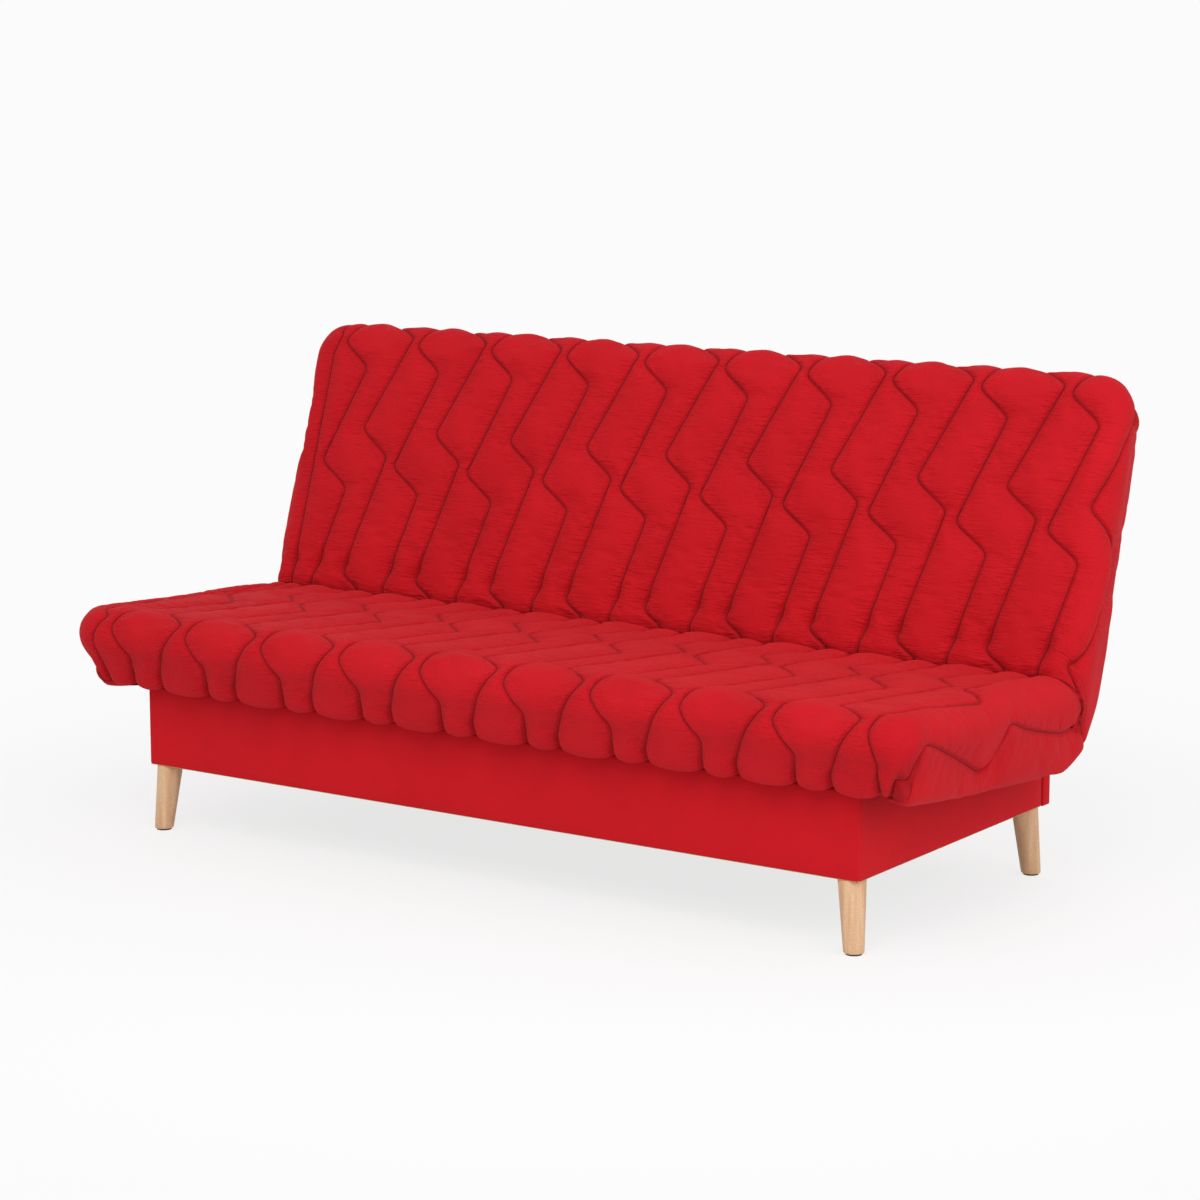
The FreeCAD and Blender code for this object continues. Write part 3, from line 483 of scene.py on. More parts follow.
# %% Bend every row
def bend_rows(rows, steps):
    """The sheet's points in metres, as an array of rows by columns by three."""
    points = np.zeros(steps.shape + (3,))
    side_share = np.maximum(np.abs(steps) - flat_half, 0) / side_run
    sign = np.sign(steps)
    for index, row in enumerate(rows):
        is_seat = row < 0
        out_way, up_way = (seat_out, seat_up) if is_seat else (back_out, back_up)
        flat, edge = (seat_flat, front_edge) if is_seat else (back_flat, rear_edge)
        reach = abs(row) - fold_shift
        share = side_share[index]
        wide, height = profile_at(side_edge, share)
        if abs(row) < fold_half:
            top = np.array([np.interp(row + fold_half, fold_steps, fold_line[:, axis]) for axis in (0, 1)])
            ends = np.clip((np.abs(steps[index]) - flat_half + 0.060) / 0.100, 0, 1)
            depth = max(float(np.dot(top - crease, down_fold)), 0.0)
            lift = 0.85 * ends * ends * (3 - 2 * ends) * depth
            top = top[None, :] - lift[:, None] * down_fold[None, :]
        else:
            top = (crease + min(reach, flat) * out_way)[None, :]
        if reach <= flat:
            fade = 1.0
            if abs(row) >= fold_half:
                fade = max(1 - (reach - fold_flat) / fan_reach, 0.0) ** 2
            low_hem, far_hem = (fold_hem, -0.010) if is_seat else (fold_hem + 0.012, 0.004)
            hems = [corner_height, corner_height * 0.5, low_hem, far_hem]
            hem = np.interp(reach, [0.0, 0.030, 0.090, flat], hems)
            height = hem_drop(height, hem, side_edge[2][-1])
            straight = top - (top_height - height)[:, None] * up_way[None, :]
            fanned = pivot[None, :] + (top - pivot[None, :]) * (height / top_height)[:, None]
            place = (1 - fade) * straight + fade * fanned
            across = np.where(share > 0, flat_half + wide, np.abs(steps[index]))
        else:
            end_share = (reach - flat) / edge[0][-1]
            most = np.maximum(share, end_share)
            eighth = math.pi / 4
            past_end = 2 * eighth - eighth * end_share / np.maximum(share, 1e-9)
            angle = np.where(share <= end_share, eighth * share / end_share, past_end)
            end_out, end_height = profile_at(edge, most)
            wide, height = profile_at(side_edge, most)
            height = end_height * np.cos(angle) ** 2 + height * np.sin(angle) ** 2
            place = top + (end_out * np.cos(angle))[:, None] * out_way[None, :]
            place = place - (top_height - height)[:, None] * up_way[None, :]
            across = np.where(share > 0, flat_half + wide * np.sin(angle), np.abs(steps[index]))
        points[index, :, 0] = sign[index] * across
        points[index, :, 1:] = place
    return points


sheet = bend_rows(rows, steps)
print("sheet", sheet.shape, "from", sheet.min(axis=(0, 1)).round(3), "to", sheet.max(axis=(0, 1)).round(3))


# %% [markdown]
# ## Padding
#
# Wadding fills the channels between the seams. Two things are needed for it: the outward
# direction at every point, and the distance to the nearest seam. A search tree finds the distance
# quickly, even for a hundred thousand points.

# %% Puffs between the seams
def grid_normals(points):
    """The outward direction at each point of the sheet."""
    along = np.gradient(points, axis=0)
    over = np.gradient(points, axis=1)
    normal = np.cross(over, along)
    return normal / np.maximum(np.linalg.norm(normal, axis=2, keepdims=True), 1e-9)


def seam_distance(points):
    """The distance from each point of the sheet to the nearest seam."""
    marks = []
    for column in seam_columns:
        line = points[:, column]
        for share in (0.0, 0.34, 0.67):
            marks.append(line[:-1] * (1 - share) + line[1:] * share)
    marks = np.vstack(marks)
    tree = KDTree(len(marks))
    for index, mark in enumerate(marks):
        tree.insert(mark, index)
    tree.balance()
    flat = points.reshape(-1, 3)
    far = np.array([tree.find(point)[2] for point in flat])
    return far.reshape(points.shape[:2])


sheet_depth = 0.0060
normals = grid_normals(sheet)
far = seam_distance(sheet)
far[:, seam_columns] = 0.0
print("seam distance up to", round(float(far.max()), 3), "m")

# %% [markdown]
# The wadding pushes each channel up steeply beside the thread, then almost flat. Two bulges make
# that: a narrow one and a broad low one. At the hem the lobes hang fuller, and the thread pulls a
# notch between them. In the fold each seam ends in a small dimple.

# %% Puff heights
side_left = flat_half + side_run - np.abs(steps)
end_left = np.minimum(rows - rows[0], rows[-1] - rows)[:, None]
to_hem = np.minimum(side_left, end_left)
at_hem = np.exp(-((to_hem - 0.048) / 0.030) ** 2)
at_fold = np.exp(-((np.abs(rows) - fold_half) / 0.022) ** 2)[:, None]
narrow_height, narrow_width = 0.0062, 0.0055
broad_height, broad_width = 0.0042, 0.030
lobe_height, notch_depth, dimple_depth = 0.0050, 0.0045, 0.008
narrow_bulge = narrow_height * (1 - np.exp(-far / narrow_width))
broad_bulge = broad_height * (1 - np.exp(-((far / broad_width) ** 2)))
fuller = lobe_height * (1 - np.exp(-far / 0.012))
notch = notch_depth * np.exp(-((far / 0.009) ** 2))
lobe = at_hem * (fuller - notch)
dimple = at_fold * dimple_depth * np.exp(-((far / 0.013) ** 2))
seat_reaches = -rows - fold_shift
worn = np.clip((seat_reaches - 0.02) / 0.06, 0, 1) * np.clip((seat_flat - seat_reaches + 0.02) / 0.06, 0, 1)
worn_share = 0.45
worn = 1 - worn_share * worn[:, None] * (np.abs(steps) < flat_half)
puff = (narrow_bulge + broad_bulge) * worn + lobe - dimple - sheet_depth
print("puffs", puff.min().round(4), puff.max().round(4))

# %% [markdown]
# The thread also gathers the cloth along each seam, which leaves fine puckers that lie across it.
# A noise that is short along the seam and long across it gives them, and they fade out within a
# few centimetres.

# %% Puckers
pucker = np.zeros(steps.shape)
for index, row in enumerate(rows):
    for column in range(steps.shape[1]):
        side_step = steps[index, column]
        wave = noise.noise(Vector((side_step * 11, row * 62, 0)))
        wave += 0.6 * noise.noise(Vector((side_step * 17, row * 118, 4)))
        pucker[index, column] = wave
pucker_height = 0.0013
pucker_reach = 0.026
pucker *= pucker_height * np.exp(-far / pucker_reach) * (1 - np.exp(-far / 0.004))
slack = np.array([
    [noise.noise(Vector((side * 7, row * 9, 9))) for side in line]
    for row, line in zip(rows, steps)
])
slack_height = 0.0012
puff += pucker + slack_height * slack
padded_sheet = sheet + normals * puff[..., None]
print("puckers up to", round(float(np.abs(pucker).max()) * 1000, 2), "mm")

# %% [markdown]
# The sheet becomes a mesh of quads, one for each cell of the grid. Quads in clean rows take subdivision and
# simulation well. The distance to the seam and the place on the flat cloth are stored on the points, because the
# shader draws thread, puckers and the painted shade in the grooves from them.

# %% The cover's mesh
row_count, column_count = steps.shape
numbers = np.arange(row_count * column_count).reshape(row_count, column_count)
corners = [numbers[:-1, :-1], numbers[:-1, 1:], numbers[1:, 1:], numbers[1:, :-1]]
quads = np.stack(corners, axis=-1).reshape(-1, 4)


def grid_object(name, points, faces):
    mesh = bpy.data.meshes.new(name)
    mesh.vertices.add(len(points))
    mesh.vertices.foreach_set("co", points.ravel())
    mesh.loops.add(len(faces) * 4)
    mesh.loops.foreach_set("vertex_index", faces.ravel())
    mesh.polygons.add(len(faces))
    mesh.polygons.foreach_set("loop_start", np.arange(0, len(faces) * 4, 4))
    mesh.update()
    mesh.validate()
    mesh.polygons.foreach_set("use_smooth", np.ones(len(faces), dtype=bool))
    piece = bpy.data.objects.new(name, mesh)
    scene.collection.objects.link(piece)
    return piece


cover = grid_object("quilted_cover", padded_sheet.reshape(-1, 3), quads)
seam_mark = cover.data.attributes.new("seam_distance", "FLOAT", "POINT")
seam_mark.data.foreach_set("value", far.ravel().astype(np.float32))
reach_mark = cover.data.attributes.new("flat_place", "FLOAT_VECTOR", "POINT")
flat_vectors = np.stack([steps, np.repeat(rows[:, None], column_count, axis=1), far], axis=-1)
reach_mark.data.foreach_set("vector", flat_vectors.ravel().astype(np.float32))
print("cover", len(cover.data.vertices), "points")

# %% [markdown]
# A short cloth simulation lets the padding settle. The seams are held, a light pressure fills the
# channels, and the cloth may grow by a little over one percent, so that it takes on uneven
# wrinkles that no formula has. No point may move more than 4 mm, which keeps the zigzag crisp.
# Gravity is off, because the mattress carries the cloth.

# %% Cloth simulation of the padding
group = cover.vertex_groups.new(name="sewn")
held = np.zeros((row_count, column_count), dtype=bool)
for column in seam_columns:
    held[:, column - 1:column + 2] = True
held[:, :2] = held[:, -2:] = True
held[:2] = held[-2:] = True
held[np.abs(rows) < 0.020] = True
group.add([int(value) for value in numbers[held]], 1.0, "REPLACE")
most_travel = 0.004
last_frame = 20
cloth = cover.modifiers.new("cloth", "CLOTH")
settings = cloth.settings
settings.vertex_group_mass = "sewn"
settings.use_pressure = True
settings.uniform_pressure_force = 1.6
settings.effector_weights.gravity = 0
settings.shrink_min = -0.014
settings.tension_stiffness = 25
settings.compression_stiffness = 12
settings.bending_stiffness = 0.6
settings.quality = 3
cloth.point_cache.frame_start = 1
cloth.point_cache.frame_end = last_frame
for frame_number in range(1, last_frame + 1):
    scene.frame_set(frame_number)
solved = cover.evaluated_get(bpy.context.evaluated_depsgraph_get())
moved = np.empty(row_count * column_count * 3)
solved.data.vertices.foreach_get("co", moved)
cover.modifiers.remove(cloth)
scene.frame_set(1)
change = moved.reshape(-1, 3) - padded_sheet.reshape(-1, 3)
length = np.linalg.norm(change, axis=1, keepdims=True)
change *= np.minimum(1, most_travel / np.maximum(length, 1e-9))
cover.data.vertices.foreach_set("co", (padded_sheet.reshape(-1, 3) + change).ravel())
cover.data.update()
print("cloth moved up to", float(length.max()).__round__(4))
cover.vertex_groups.clear()

finer = cover.modifiers.new("finer", "SUBSURF")
finer.levels = 1
finer.render_levels = 1

# %% [markdown]
# ## The mattress
#
# Each half has a foam block in a woven ticking. It shows from behind and from below, between the
# slats. The model's solid has hard edges, so a copy of it is remeshed into small even cells,
# smoothed and drawn in by 10 mm, which also keeps it clear of the cover's valleys.

# %% The mattress under the cover
mattress_cell = 0.012
mattress_inset = 0.010


def mattress(name, node, body):
    """A soft block in the place of a foam solid, a little smaller, with rounded edges."""
    piece = frame["nodes"][node].copy()
    piece.data = frame["nodes"][node].data.copy()
    piece.name = name
    piece.parent = None
    scene.collection.objects.link(piece)
    remesh = piece.modifiers.new("remesh", "REMESH")
    remesh.mode = "VOXEL"
    remesh.voxel_size = mattress_cell
    shape = piece.evaluated_get(bpy.context.evaluated_depsgraph_get())
    piece.data = bpy.data.meshes.new_from_object(shape)
    piece.modifiers.clear()
    mesh = bmesh.new()
    mesh.from_mesh(piece.data)
    for _ in range(6):
        bmesh.ops.smooth_vert(
            mesh, verts=mesh.verts, factor=0.5, use_axis_x=True, use_axis_y=True, use_axis_z=True
        )
    mesh.normal_update()
    for vertex in mesh.verts:
        vertex.co -= vertex.normal * mattress_inset
    mesh.to_mesh(piece.data)
    mesh.free()
    for face in piece.data.polygons:
        face.use_smooth = True
    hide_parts(node)
    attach(piece, body)
    return piece


seat_mattress = mattress("seat_mattress", "seat_foam", "seat")
back_mattress = mattress("back_mattress", "back_foam", "backrest")
print("mattress", len(seat_mattress.data.vertices), len(back_mattress.data.vertices))

# %% [markdown]
# ## The quilted cloth
#
# The cloth is a dull red microfibre. Close to, it has a fine irregular nap, slightly lighter and darker patches
# where hands have stroked it, and dark thread sunk in each seam. The seam's distance was kept on the mesh as an
# attribute. From it the shader darkens the groove, partly for the darker thread and partly as painted shade in the
# seam's valley. It also draws the stitches without any picture.

# %% Small node helpers
def noise_node(nodes, links, vector, scale, detail=3.0, stretch=None):
    """A noise texture on the given coordinates, stretched if asked."""
    if stretch:
        mapping = nodes.new("ShaderNodeMapping")
        mapping.inputs["Scale"].default_value = stretch
        links.new(vector, mapping.inputs["Vector"])
        vector = mapping.outputs["Vector"]
    texture = nodes.new("ShaderNodeTexNoise")
    texture.inputs["Scale"].default_value = scale
    texture.inputs["Detail"].default_value = detail
    links.new(vector, texture.inputs["Vector"])
    return texture.outputs["Fac"]


def ramp_node(nodes, links, value, stops):
    """A colour ramp with the given stops, each a position and a colour."""
    ramp = nodes.new("ShaderNodeValToRGB")
    ramp.color_ramp.elements[0].position = stops[0][0]
    ramp.color_ramp.elements[0].color = stops[0][1]
    ramp.color_ramp.elements[1].position = stops[-1][0]
    ramp.color_ramp.elements[1].color = stops[-1][1]
    for position, color in stops[1:-1]:
        ramp.color_ramp.elements.new(position).color = color
    links.new(value, ramp.inputs["Fac"])
    return ramp.outputs["Color"]


def math_node(nodes, links, operation, first, second=0.0):
    """A math node on two sockets or numbers."""
    node = nodes.new("ShaderNodeMath")
    node.operation = operation
    for index, value in enumerate((first, second)):
        if isinstance(value, (int, float)):
            node.inputs[index].default_value = value
        else:
            links.new(value, node.inputs[index])
    return node.outputs["Value"]

print("node helpers 3")

# %% [markdown]
# Three more helpers: one mixes two colours, one adds relief, and one writes a plain grey.


# %% Mixing and relief
def blend_node(nodes, links, factor, first, second, way="MIX"):
    """Two colours mixed by a factor."""
    node = nodes.new("ShaderNodeMixRGB")
    node.blend_type = way
    for socket, value in zip(("Fac", "Color1", "Color2"), (factor, first, second)):
        if isinstance(value, (int, float, tuple)):
            node.inputs[socket].default_value = value
        else:
            links.new(value, node.inputs[socket])
    return node.outputs["Color"]


def bump_node(nodes, links, height, distance, strength=1.0, below=None):
    """A bump from a height socket, over an earlier bump if given."""
    node = nodes.new("ShaderNodeBump")
    node.inputs["Strength"].default_value = strength
    node.inputs["Distance"].default_value = distance
    links.new(height, node.inputs["Height"])
    if below is not None:
        links.new(below, node.inputs["Normal"])
    return node.outputs["Normal"]


def grey(value):
    """A grey colour."""
    return (value, value, value, 1.0)


print("node helpers 6, grey", grey(0.5))

# %% [markdown]
# The cloth's colour is built up in layers: a slow wander of the red, the fine nap, and the dark of the groove,
# which is the darker thread and painted shade in the valley beside it. Its relief is built up the same way:
# puckers, thread, nap. The sheen is low and red, because a strong white sheen would turn the cloth pink.

# %% Quilted cloth
quilt, nodes, links, shader = new_material("quilted_cloth")
shader.inputs["Specular IOR Level"].default_value = 0.12
shader.inputs["Sheen Weight"].default_value = 0.10
shader.inputs["Sheen Roughness"].default_value = 0.45
shader.inputs["Sheen Tint"].default_value = (1.0, 0.25, 0.25, 1.0)
place = nodes.new("ShaderNodeTexCoord").outputs["Object"]
seam = nodes.new("ShaderNodeAttribute")
seam.attribute_name = "seam_distance"
flat = nodes.new("ShaderNodeAttribute")
flat.attribute_name = "flat_place"
nap = noise_node(nodes, links, place, 620, 2.0)
patches = noise_node(nodes, links, place, 7, 3.0)
cloth_red = ramp_node(nodes, links, patches, [(0.30, linear(190, 20, 31)), (0.70, linear(200, 23, 34))])
nap_tone = ramp_node(nodes, links, nap, [(0.30, grey(0.86)), (0.70, grey(1.10))])
cloth_red = blend_node(nodes, links, 1.0, cloth_red, nap_tone, "MULTIPLY")
# painted shade: the base colour darkens towards each seam, partly for the darker thread and partly as shade in the
# seam's valley
groove_shade_and_thread = ramp_node(nodes, links, math_node(nodes, links, "MULTIPLY", seam.outputs["Fac"], 100),
                   [(0.0, grey(0.42)), (0.09, grey(0.62)), (0.22, grey(0.92)), (0.6, grey(1.0))])
cloth_red = blend_node(nodes, links, 1.0, cloth_red, groove_shade_and_thread, "MULTIPLY")
links.new(cloth_red, shader.inputs["Base Color"])
split = nodes.new("ShaderNodeSeparateXYZ")
links.new(flat.outputs["Vector"], split.inputs["Vector"])
along = math_node(nodes, links, "FRACT", math_node(nodes, links, "DIVIDE", split.outputs["Y"], 0.0045))
thread = math_node(nodes, links, "GREATER_THAN", along, 0.28)
on_seam = math_node(nodes, links, "LESS_THAN", seam.outputs["Fac"], 0.0008)
stitch = math_node(nodes, links, "MULTIPLY", thread, on_seam)
gather = noise_node(nodes, links, flat.outputs["Vector"], 1.0, 2.0, (34, 210, 0))
near_seam = ramp_node(nodes, links, math_node(nodes, links, "MULTIPLY", seam.outputs["Fac"], 20),
                      [(0.02, grey(0.0)), (0.14, grey(1.0)), (0.9, grey(0.12))])
gather = math_node(nodes, links, "MULTIPLY", gather, near_seam)
normal = bump_node(nodes, links, gather, 0.0055, 1.0)
normal = bump_node(nodes, links, stitch, 0.0006, 1.0, normal)
normal = bump_node(nodes, links, nap, 0.0004, 0.35, normal)
links.new(normal, shader.inputs["Normal"])
rough = ramp_node(nodes, links, nap, [(0.2, grey(0.80)), (0.8, grey(0.95))])
links.new(rough, shader.inputs["Roughness"])
cover.data.materials.append(quilt)
print("quilted cloth", len(nodes), "nodes")

# %% [markdown]
# ## The other finishes
#
# Every part that shows gets a finish of its own, also inside the box: tight red cloth on the
# panels, beech with its fine flecks on legs and slats, raw chipboard under the cloth, pine
# battens, powder-coated tube, zinc-plated plates and pins, and moulded plastic. Each one is a few
# noises at the right scale: one for colour, one for gloss and one for relief.

# %% A general finish
def finish(name, pale, dark, scale, stretch=(1, 1, 1), rough=(0.5, 0.6), relief=0.0002,
           metal=0.0, fine=600, specular=0.3):
    """A material whose colour wanders between pale and dark, with uneven gloss and fine relief."""
    material, nodes, links, shader = new_material(name)
    shader.inputs["Metallic"].default_value = metal
    shader.inputs["Specular IOR Level"].default_value = specular
    place = nodes.new("ShaderNodeTexCoord").outputs["Object"]
    broad = noise_node(nodes, links, place, scale, 5.0, stretch)
    small = noise_node(nodes, links, place, fine, 2.0)
    tone = ramp_node(nodes, links, broad, [(0.32, dark), (0.66, pale)])
    speck = ramp_node(nodes, links, small, [(0.25, grey(0.90)), (0.75, grey(1.06))])
    links.new(blend_node(nodes, links, 1.0, tone, speck, "MULTIPLY"), shader.inputs["Base Color"])
    gloss = ramp_node(nodes, links, broad, [(0.2, grey(rough[0])), (0.8, grey(rough[1]))])
    links.new(gloss, shader.inputs["Roughness"])
    normal = bump_node(nodes, links, broad, relief, 0.6)
    links.new(bump_node(nodes, links, small, relief, 0.5, normal), shader.inputs["Normal"])
    return material

print("general finish ready")

# %% [markdown]
# Each finish gets a pale and a dark tone, the scale of its pattern and the range of its gloss.
# Wood has its noise stretched along the grain. Zinc and pins are metal, so their colour is that
# of their reflection.

# %% The finishes
panel_cloth = finish(
    "panel_cloth", linear(205, 22, 33), linear(198, 20, 31), 9,
    rough=(0.82, 0.92), relief=0.0004, fine=760, specular=0.12,
)
panel_shader = panel_cloth.node_tree.nodes["Principled BSDF"]
panel_shader.inputs["Sheen Weight"].default_value = 0.10
panel_shader.inputs["Sheen Tint"].default_value = (1.0, 0.25, 0.25, 1.0)
leg_beech = finish(
    "leg_beech", linear(229, 190, 151), linear(209, 163, 121), 1.0,
    stretch=(95, 95, 5), rough=(0.42, 0.55), relief=0.00015, fine=260,
)
ticking = finish(
    "mattress_ticking", linear(236, 232, 220), linear(222, 216, 200), 30,
    rough=(0.85, 0.95), relief=0.0006, fine=420,
)
slat_beech = finish(
    "slat_beech", linear(226, 194, 152), linear(204, 165, 120), 1.0,
    stretch=(90, 4, 4), rough=(0.40, 0.55),
)
chipboard = finish(
    "chipboard", linear(196, 166, 122), linear(150, 118, 80), 240, rough=(0.75, 0.9), relief=0.0005
)
hardboard = finish("hardboard", linear(128, 92, 60), linear(96, 66, 42), 90, rough=(0.55, 0.75))
pine = finish(
    "pine", linear(226, 188, 130), linear(190, 142, 88), 1.0, stretch=(5, 60, 60), rough=(0.6, 0.75)
)
powder_coat = finish(
    "powder_coat", linear(40, 40, 43), linear(28, 28, 30), 160,
    rough=(0.34, 0.5), relief=0.0003, fine=900,
)
zinc_plate = finish(
    "zinc_plate", linear(196, 199, 204), linear(150, 154, 160), 60, rough=(0.28, 0.48), metal=1.0
)
turned_pin = finish(
    "turned_pin", linear(214, 216, 220), linear(186, 188, 194), 1.0,
    stretch=(900, 20, 20), rough=(0.18, 0.32), metal=1.0,
)
moulded_plastic = finish(
    "moulded_plastic", linear(34, 34, 35), linear(24, 24, 25), 220, rough=(0.4, 0.55)
)
rubber = finish("rubber", linear(30, 29, 28), linear(20, 20, 20), 140, rough=(0.7, 0.85))
print("finishes beside the quilted cloth 12")

# %% [markdown]
# The model says which finish each part has. One table joins those names to the materials, and a
# loop hands them out, so that no part is left plain.

# %% Hand out the finishes
materials = {
    "quilted_cover": quilt,
    "base_fabric": panel_cloth,
    "foam": ticking,
    "leg_beech": leg_beech,
    "slat_beech": slat_beech,
    "panel_board": chipboard,
    "floor_board": hardboard,
    "softwood": pine,
    "frame_steel": powder_coat,
    "zinc_steel": zinc_plate,
    "bright_pin": turned_pin,
    "black_plastic": moulded_plastic,
    "buffer_rubber": rubber,
}
slots = {part["node"]: part["material_slot"] for part in frame["record"]["subparts"]}
for name, node in frame["nodes"].items():
    node.data.materials.clear()
    node.data.materials.append(materials[slots[name]])

for piece in (seat_mattress, back_mattress):
    piece.data.materials.clear()
    piece.data.materials.append(materials["foam"])
print("finishes", len(materials))

# %% [markdown]
# ## The cloth on the base
#
# The front and side panels are boards with red cloth pulled round them and stapled out of sight.
# A strip of wadding on their upper edges makes these soft, and slopes down along the sides from
# the higher front. The cloth rounds every corner. It is one band: its path runs from the rear of
# one side round the front to the other side, and its section goes up the outside, over the top
# and down the inside. The rear board has its own cloth, with a dark slot beside it.

# %% Base cloth, front and sides
low_panel, high_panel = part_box("front_panel")
low_side, high_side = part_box("side_panel_right")
half_box = high_panel[0] + 0.0015
front_face = low_panel[1] - 0.0015
inner_x = low_side[0] - 0.0008
inner_y = high_panel[1] + 0.0008
wadding = 0.014
corner = 0.004
round_edge = 0.006
bottom = low_panel[2] - 0.0015
print("base", round(2 * half_box, 3), "m wide")

# %% [markdown]
# The path is drawn for the right half only, as plan points with the direction outwards. The left
# half is its mirror image. At the side's rear end the cloth turns in behind the board.


# %% Path and section of the band
def band_path():
    """Plan points of the right half's outer face from the front's middle to the side's rear end."""
    points = [(x, front_face, 0.0, -1.0) for x in np.linspace(0.0, half_box - corner, 42)]
    for step in range(1, 7):
        turn = math.pi / 2 * step / 6
        x = half_box - corner + corner * math.sin(turn)
        y = front_face + corner - corner * math.cos(turn)
        points.append((x, y, math.sin(turn), -math.cos(turn)))
    side_places = np.linspace(inner_y + 0.02, high_side[1] - 0.003, 24)
    for y in (front_face + 0.014, inner_y - 0.001, inner_y + 0.001, *side_places):
        points.append((half_box, y, 1.0, 0.0))
    points.append((half_box - 0.001, high_side[1] - 0.001, 0.7, 0.7))
    points.append((half_box - 0.003, high_side[1] + 0.0012, 0.0, 1.0))
    points.append((inner_x, high_side[1] + 0.0012, 0.0, 1.0))
    return points


def band_section(x, y, normal_x, normal_y):
    """The cloth's points over the panel at one place of the path, from inside bottom to inside top."""
    slope_places = (inner_y + 0.03, inner_y + 0.30)
    top = wadding + float(np.interp(y, slope_places, (high_panel[2] - 0.003, high_side[2])))
    if y < inner_y:
        top = high_panel[2] + wadding
    inner = (min(x, inner_x), max(y, inner_y))
    if y >= inner_y:
        inner = (inner_x, y)
    inset = round_edge
    points = [(*inner, bottom)]
    for turn in (0.0, math.pi / 4, math.pi / 2):
        shift = -inset + inset * math.sin(turn)
        points.append((x + normal_x * shift, y + normal_y * shift, bottom + inset - inset * math.cos(turn)))
    for height in np.linspace(bottom + inset, top - inset, 8)[1:]:
        points.append((x, y, height))
    for turn in (math.pi / 4, math.pi / 2):
        shift = -inset + inset * math.cos(turn)
        points.append((x + normal_x * shift, y + normal_y * shift, top - inset + inset * math.sin(turn)))
    points.append((inner[0] + 0.003 * (normal_x > 0.5), inner[1] - 0.003 * (normal_y < -0.5), top))
    points.append((*inner, top - 0.003))
    points.append((*inner, bottom + 0.030))
    return points

print("path points", len(band_path()))

# %% [markdown]
# The sections are joined into a grid of quads. Where the inner corner pulls several points
# together, the double points are merged, so that no face without area is left.

# %% Mesh of the band
right = [band_section(*point) for point in band_path()]
left = [[(-x, y, z) for x, y, z in section] for section in right[:0:-1]]
band = np.array(left + right)
long_count, around = band.shape[:2]
ids = np.arange(long_count * around).reshape(long_count, around)
band_faces = np.stack([ids[:-1, :-1], ids[1:, :-1], ids[1:, 1:], ids[:-1, 1:]], axis=-1).reshape(-1, 4)
base_cloth = grid_object("base_cloth", band.reshape(-1, 3), band_faces)
mesh = bmesh.new()
mesh.from_mesh(base_cloth.data)
bmesh.ops.remove_doubles(mesh, verts=mesh.verts, dist=0.00005)
bmesh.ops.dissolve_degenerate(mesh, edges=mesh.edges, dist=0.00005)
bmesh.ops.recalc_face_normals(mesh, faces=mesh.faces)
mesh.to_mesh(base_cloth.data)
mesh.free()
base_cloth.data.materials.append(panel_cloth)
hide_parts("front_fabric", "side_fabrics")
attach(base_cloth, "base")
print("base cloth", len(base_cloth.data.polygons), "faces")


# %% [markdown]
# The rear board has cloth all round it. A box with bevelled edges is enough for a board, and four
# bevel segments make its edges as soft as cloth over wood.

# %% Base cloth at the rear
def wrapped_board(name, low, high, radius):
    """Cloth all round a board, with rounded edges."""
    mesh = bmesh.new()
    bmesh.ops.create_cube(mesh, size=1.0)
    for vertex in mesh.verts:
        vertex.co = [(a + b) / 2 + c * (b - a) for a, b, c in zip(low, high, vertex.co)]
    bmesh.ops.bevel(mesh, geom=list(mesh.edges), offset=radius, segments=4, profile=0.5, affect="EDGES")
    data = bpy.data.meshes.new(name)
    mesh.to_mesh(data)
    mesh.free()
    for face in data.polygons:
        face.use_smooth = True
    piece = bpy.data.objects.new(name, data)
    scene.collection.objects.link(piece)
    return piece


low_rear, high_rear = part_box("rear_panel")
rear_cloth = wrapped_board(
    "rear_cloth", (-half_box - 0.0015, low_rear[1] - 0.0008, bottom),
    (half_box + 0.0015, high_rear[1] + 0.0015, high_rear[2] + 0.002), 0.003)
rear_cloth.data.materials.append(panel_cloth)
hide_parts("rear_fabric")
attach(rear_cloth, "base")
print("rear cloth", len(rear_cloth.data.polygons), "faces")

# %% [markdown]
# ## The legs
#
# Each leg is one turned piece of beech: a straight taper that leans outwards, with its edges just
# broken. The model's own legs have 24 flats, so a lathe shape with 64 sides takes their place. Its
# two ends lie exactly where the node's box says.

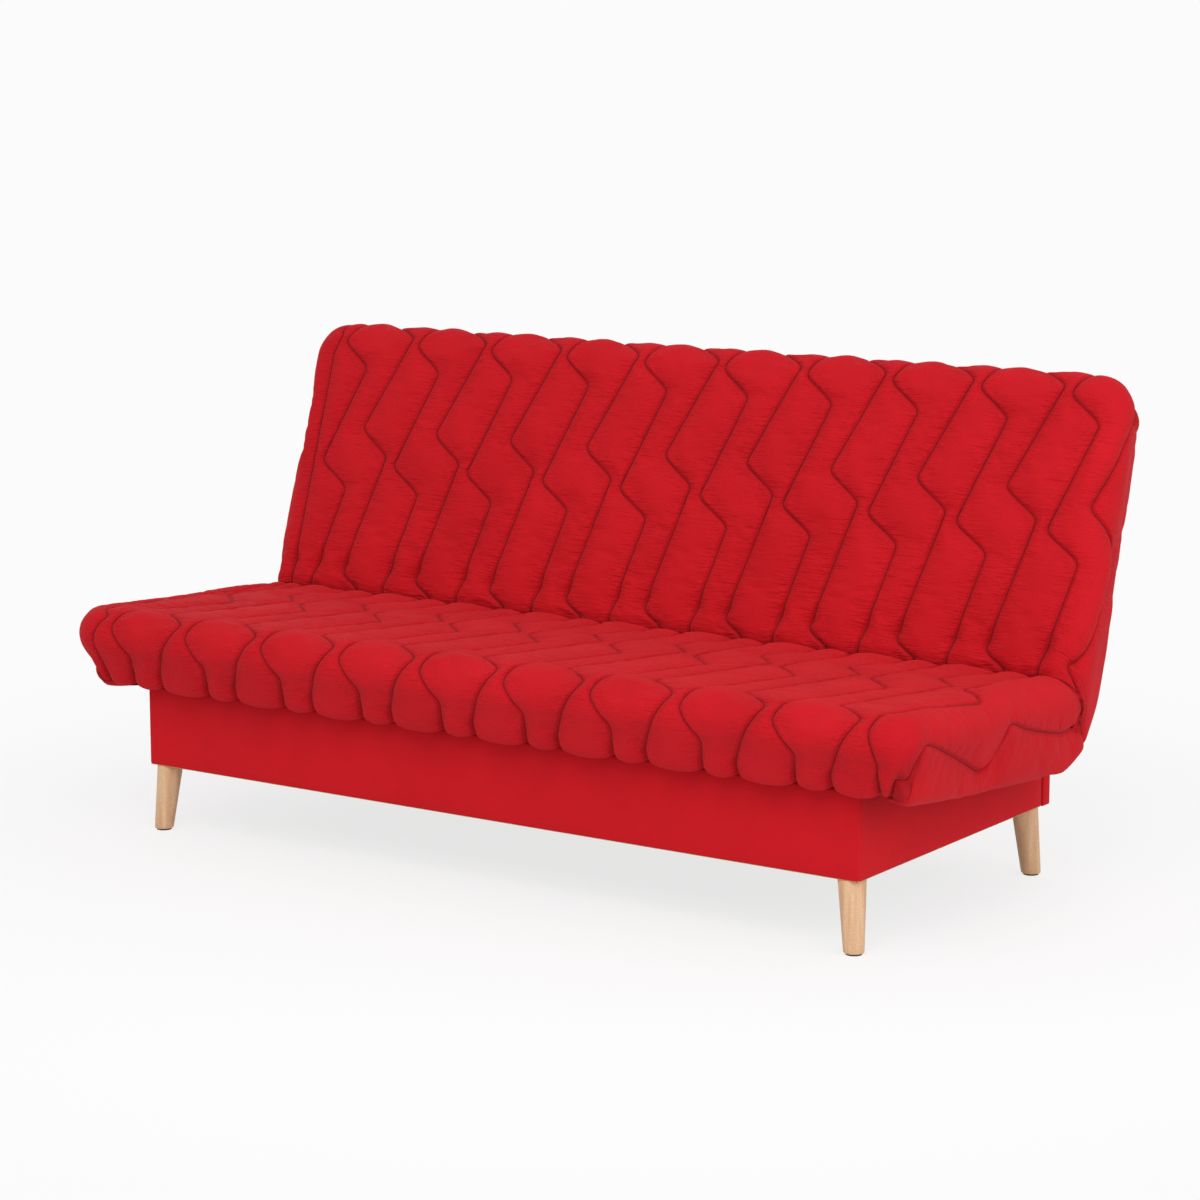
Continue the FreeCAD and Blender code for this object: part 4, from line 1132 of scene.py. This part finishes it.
# %% Turned legs
def turned_leg(node):
    """A round tapered leg that leans from its top to its foot."""
    low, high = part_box(node)
    top_radius, foot_radius = 0.026, 0.019
    side = 1 if high[0] > 0 else -1
    front = -1 if low[1] < 0 else 1
    top = Vector(((low[0] if side > 0 else high[0]) + side * top_radius,
                  (high[1] if front < 0 else low[1]) + front * top_radius, high[2]))
    foot = Vector(((high[0] if side > 0 else low[0]) - side * foot_radius,
                   (low[1] if front < 0 else high[1]) - front * foot_radius, low[2]))
    length = (top - foot).length
    profile = [(0.0, 0.0), (foot_radius - 0.0025, 0.0), (foot_radius - 0.0008, 0.0007), (foot_radius, 0.0025)]
    for step in range(1, 12):
        share = step / 12
        profile.append((foot_radius + (top_radius - foot_radius) * share, length * share))
    profile += [(top_radius, length - 0.0015), (top_radius - 0.0012, length), (0.0, length)]
    sides = 64
    turns = [2 * math.pi * k / sides for k in range(sides + 1)]
    rings = []
    for radius, height in profile:
        centre = foot + (top - foot) * (height / length)
        rings.append([
            (centre.x + radius * math.cos(turn), centre.y + radius * math.sin(turn), centre.z)
            for turn in turns
        ])
    ring_points = np.array(rings)
    ids = np.arange(len(rings) * (sides + 1)).reshape(len(rings), sides + 1)
    faces = np.stack([ids[:-1, :-1], ids[:-1, 1:], ids[1:, 1:], ids[1:, :-1]], axis=-1).reshape(-1, 4)
    leg = grid_object("turned_" + node, ring_points.reshape(-1, 3), faces)
    mesh = bmesh.new()
    mesh.from_mesh(leg.data)
    bmesh.ops.remove_doubles(mesh, verts=mesh.verts, dist=0.00002)
    bmesh.ops.recalc_face_normals(mesh, faces=mesh.faces)
    mesh.to_mesh(leg.data)
    mesh.free()
    leg.data.materials.append(leg_beech)
    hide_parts(node)
    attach(leg, "base")
    return leg


for node in ("leg_front_left", "leg_front_right", "leg_rear_left", "leg_rear_right"):
    turned_leg(node)
print("legs 4")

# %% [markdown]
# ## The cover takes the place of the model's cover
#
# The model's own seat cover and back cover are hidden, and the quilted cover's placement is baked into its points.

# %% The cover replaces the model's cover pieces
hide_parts("seat_cover", "back_cover")
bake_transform(cover)

# %% [markdown]
# ## The end
#

# %% The end
print("scene built")
